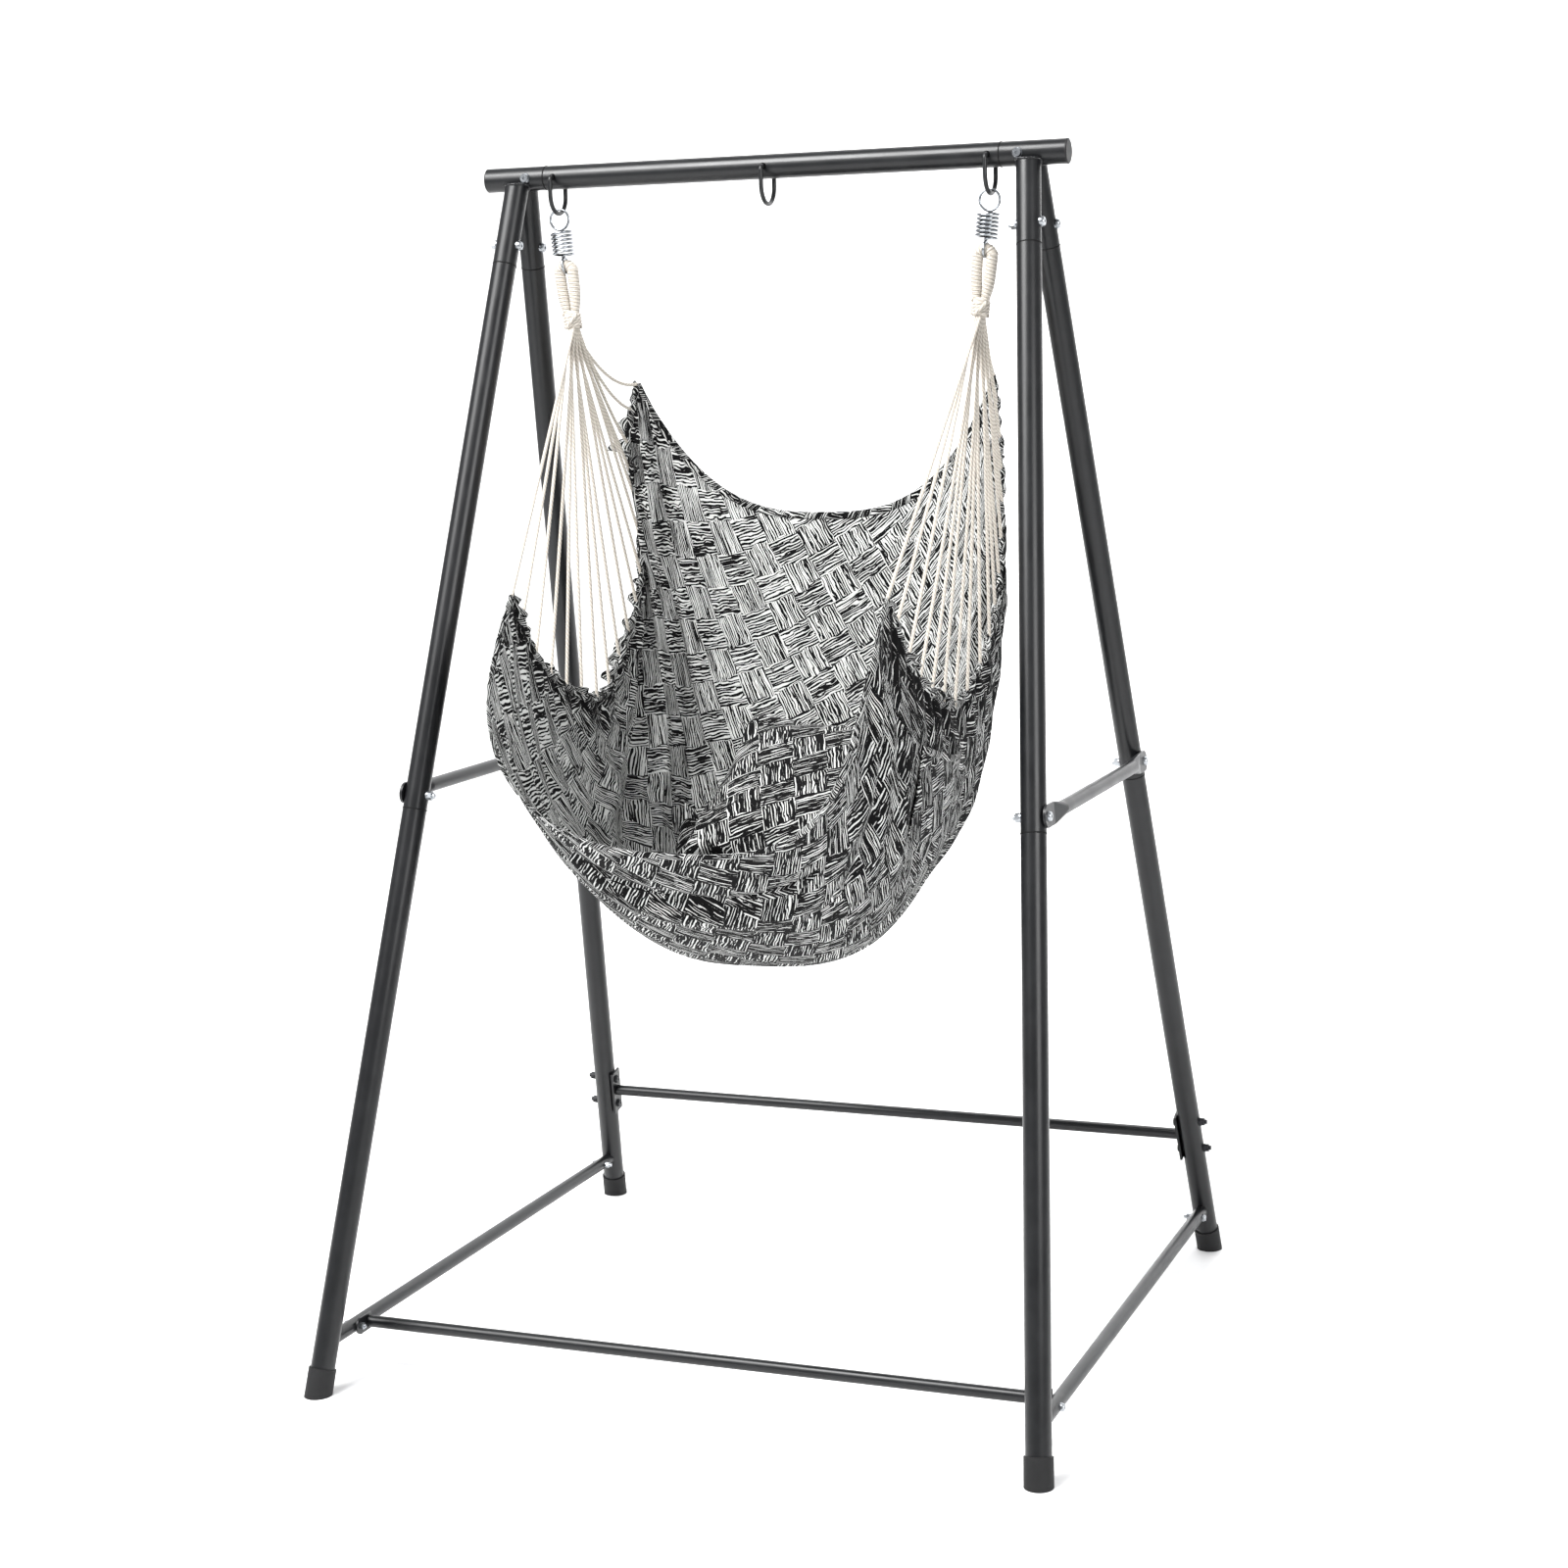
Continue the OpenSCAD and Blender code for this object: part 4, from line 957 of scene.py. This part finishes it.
def slab(top, bottom):
    """Closed shape between two grids of points with the same rim: returns points and faces."""
    rows, cols = top.shape[:2]
    count = rows * cols
    i, j = np.meshgrid(np.arange(rows - 1), np.arange(cols - 1), indexing="ij")
    quad = np.stack([i * cols + j, (i + 1) * cols + j, (i + 1) * cols + j + 1, i * cols + j + 1], -1)
    quad = quad.reshape(-1, 4)
    rim = np.concatenate([np.arange(cols), np.arange(1, rows) * cols + cols - 1,
                          (rows - 1) * cols + np.arange(cols - 2, -1, -1),
                          np.arange(rows - 2, 0, -1) * cols])
    following = np.roll(rim, -1)
    wall = np.stack([rim, following, following + count, rim + count], -1)
    faces = np.vstack([quad, quad[:, ::-1] + count, wall])
    return np.vstack([top.reshape(-1, 3), bottom.reshape(-1, 3)]), faces.tolist()


def padded_piece(name, material, mesh, body, node, uv_of):
    """Finishes a swollen pad: its cloth places come from a flat projection along its thickness,
    and one subdivision smooths it."""
    mesh.name = name
    co = np.zeros(len(mesh.vertices) * 3)
    mesh.vertices.foreach_get("co", co)
    flat = uv_of(co.reshape(-1, 3))
    loops = np.zeros(len(mesh.loops), int)
    mesh.loops.foreach_get("vertex_index", loops)
    layer = mesh.uv_layers.get("cloth") or mesh.uv_layers.new(name="cloth")
    layer.data.foreach_set("uv", flat[loops].ravel())
    mesh.polygons.foreach_set("use_smooth", np.ones(len(mesh.polygons), bool))
    mesh.materials.clear()
    piece = place(mesh, material, body)
    smooth = piece.modifiers.new("smooth", "SUBSURF")
    smooth.levels = 1
    smooth.render_levels = 1
    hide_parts(node)


CUSHION_THICK = 85 * MM
CUSHION_CLEAR = 4 * MM
CUSHION_HALF_U, CUSHION_MIDDLE_V, CUSHION_HALF_V = 0.45, 0.7, 0.24
CUSHION_DRAWN_IN, CUSHION_GRID = 0.97, 60


def make_cushion():
    """The seat pad: the seat's own surface as its underside, and a top that rises from the rim
    by a blunt bell, so that it lies like a filled lens in the bottom of the seat."""
    s, t = np.meshgrid(np.linspace(-1, 1, CUSHION_GRID), np.linspace(-1, 1, CUSHION_GRID))
    under = seat(CUSHION_HALF_U * s * CUSHION_DRAWN_IN,
                 CUSHION_MIDDLE_V + CUSHION_HALF_V * t * CUSHION_DRAWN_IN)
    inward = normals(under) * -1
    inward *= np.sign(inward[CUSHION_GRID // 2, CUSHION_GRID // 2, 2])
    puff = ((1 - s**4) * (1 - t**4)) ** 0.8
    base = 2.5 * MM + CUSHION_CLEAR + 3 * MM
    bottom = under + inward * base
    top = under + inward * (base + 10 * MM + (CUSHION_THICK - 14 * MM) * puff)[..., None]
    points, faces = slab(top, bottom)
    mesh = swell(points, faces, 7 * MM, 3.0)
    padded_piece("seat_pad", pillow_cloth, mesh, "hammock", "seat_cushion",
                 lambda p: p[:, :2])


PILLOW_SIZE, PILLOW_THICK = 310 * MM, 110 * MM
PILLOW_LEAN, PILLOW_TURN = math.radians(53), math.radians(-6)
PILLOW_FOOT = np.array([0.173 * BAIL_X, -172 * MM, KNOT_Z - 950 * MM + CUSHION_THICK])


def pillow_axes():
    """The pillow's own directions: across, through its thickness and up its face."""
    lean = np.array([[1, 0, 0],
                     [0, math.cos(PILLOW_LEAN), math.sin(PILLOW_LEAN)],
                     [0, -math.sin(PILLOW_LEAN), math.cos(PILLOW_LEAN)]])
    turn = np.array([[math.cos(PILLOW_TURN), -math.sin(PILLOW_TURN), 0],
                     [math.sin(PILLOW_TURN), math.cos(PILLOW_TURN), 0], [0, 0, 1]])
    return turn @ lean


def make_pillow():
    """A square pillow: two faces that bulge from a thin rim, drawn in along each side."""
    axes = pillow_axes()
    half = PILLOW_SIZE / 2
    s, t = np.meshgrid(np.linspace(-1, 1, 56), np.linspace(-1, 1, 56))
    pinch = 1 - 0.06 * (2 - s * s - t * t)
    bulge = 3 * MM + (PILLOW_THICK / 2 - 9 * MM) * np.sqrt((1 - s**4) * (1 - t**4))

    def face(sign):
        local = np.stack([half * s * pinch, sign * bulge, half * t * pinch], -1)
        return (local + [0, -PILLOW_THICK / 2, half]) @ axes.T + PILLOW_FOOT

    points, faces = slab(face(-1), face(1))
    mesh = swell(points, faces, 8 * MM, 4.0)
    padded_piece("pillow", pillow_cloth, mesh, "loose_pillow", "loose_pillow",
                 lambda p: ((p - PILLOW_FOOT) @ axes)[:, [0, 2]])


make_cushion()
make_pillow()


# ---- Floor and light ----

def make_floor():
    """A wide pale floor that runs up into a backdrop behind the stand."""
    x = np.linspace(-9, 9, 3)
    y = np.concatenate([np.linspace(-9, 5, 6), 5 + 2 * np.sin(np.linspace(0, math.pi / 2, 14))])
    z = np.concatenate([np.zeros(6), 2 - 2 * np.cos(np.linspace(0, math.pi / 2, 14))])
    y, z = np.append(y, 7.0), np.append(z, 12.0)
    grid = np.stack(np.broadcast_arrays(x[None], y[:, None], z[:, None]), -1)
    material, tree, shader = new_material("pale studio paper")
    grain = add(tree, "ShaderNodeTexNoise", {}, {"Scale": 3.0})
    stops = [(0.3, colour("#f8f8f8")), (0.7, colour("#fdfdfd"))]
    tone = add(tree, "ShaderNodeValToRGB", {"stops": stops}, {"Fac": grain.outputs["Fac"]})
    feed(tree, shader, {"Base Color": tone.outputs["Color"], "Roughness": 0.9})
    mesh = bpy.data.meshes.new("floor")
    rows, cols = grid.shape[:2]
    i, j = np.meshgrid(np.arange(rows - 1), np.arange(cols - 1), indexing="ij")
    quad = np.stack([i * cols + j, i * cols + j + 1, (i + 1) * cols + j + 1, (i + 1) * cols + j], -1)
    mesh.from_pydata(grid.reshape(-1, 3).tolist(), [], quad.reshape(-1, 4).tolist())
    mesh.materials.append(material)
    mesh.polygons.foreach_set("use_smooth", np.ones(len(mesh.polygons), bool))
    floor = new_object("floor", mesh)


def make_light(name, place_at, aim, size, power):
    """A square soft light that faces its aim."""
    data = bpy.data.lights.new(name, "AREA")
    data.size = size
    data.energy = power
    lamp = new_object(name, data)
    back = unit(np.array(place_at, float) - np.array(aim, float))
    across = unit(np.cross([0, 0, 1.0], back))
    turn_to(lamp, across, np.cross(back, across), back, place_at)


def make_world():
    """An even, nearly white surround."""
    world = bpy.data.worlds.new("studio")
    bpy.context.scene.world = world
    world.use_nodes = True
    background = world.node_tree.nodes["Background"]
    background.inputs["Color"].default_value = colour("#fbfcfe")
    background.inputs["Strength"].default_value = 0.56
    bpy.context.scene.view_settings.view_transform = "Standard"


make_floor()
make_world()
# Name, place, aim, size in metres, power in watts
for light in (
    ("key", (-3.2, -3.6, 4.6), (0, 0, 0.9), 3.0, 270),
    ("fill", (3.6, -2.8, 2.6), (0, 0, 1.0), 2.2, 110),
    ("strip", (-1.2, -2.2, 4.7), (0, 0, 1.86), 1.8, 250),
    ("backdrop", (0.0, 3.0, 5.6), (0, 7.0, 2.0), 4.0, 420),
):
    make_light(*light)
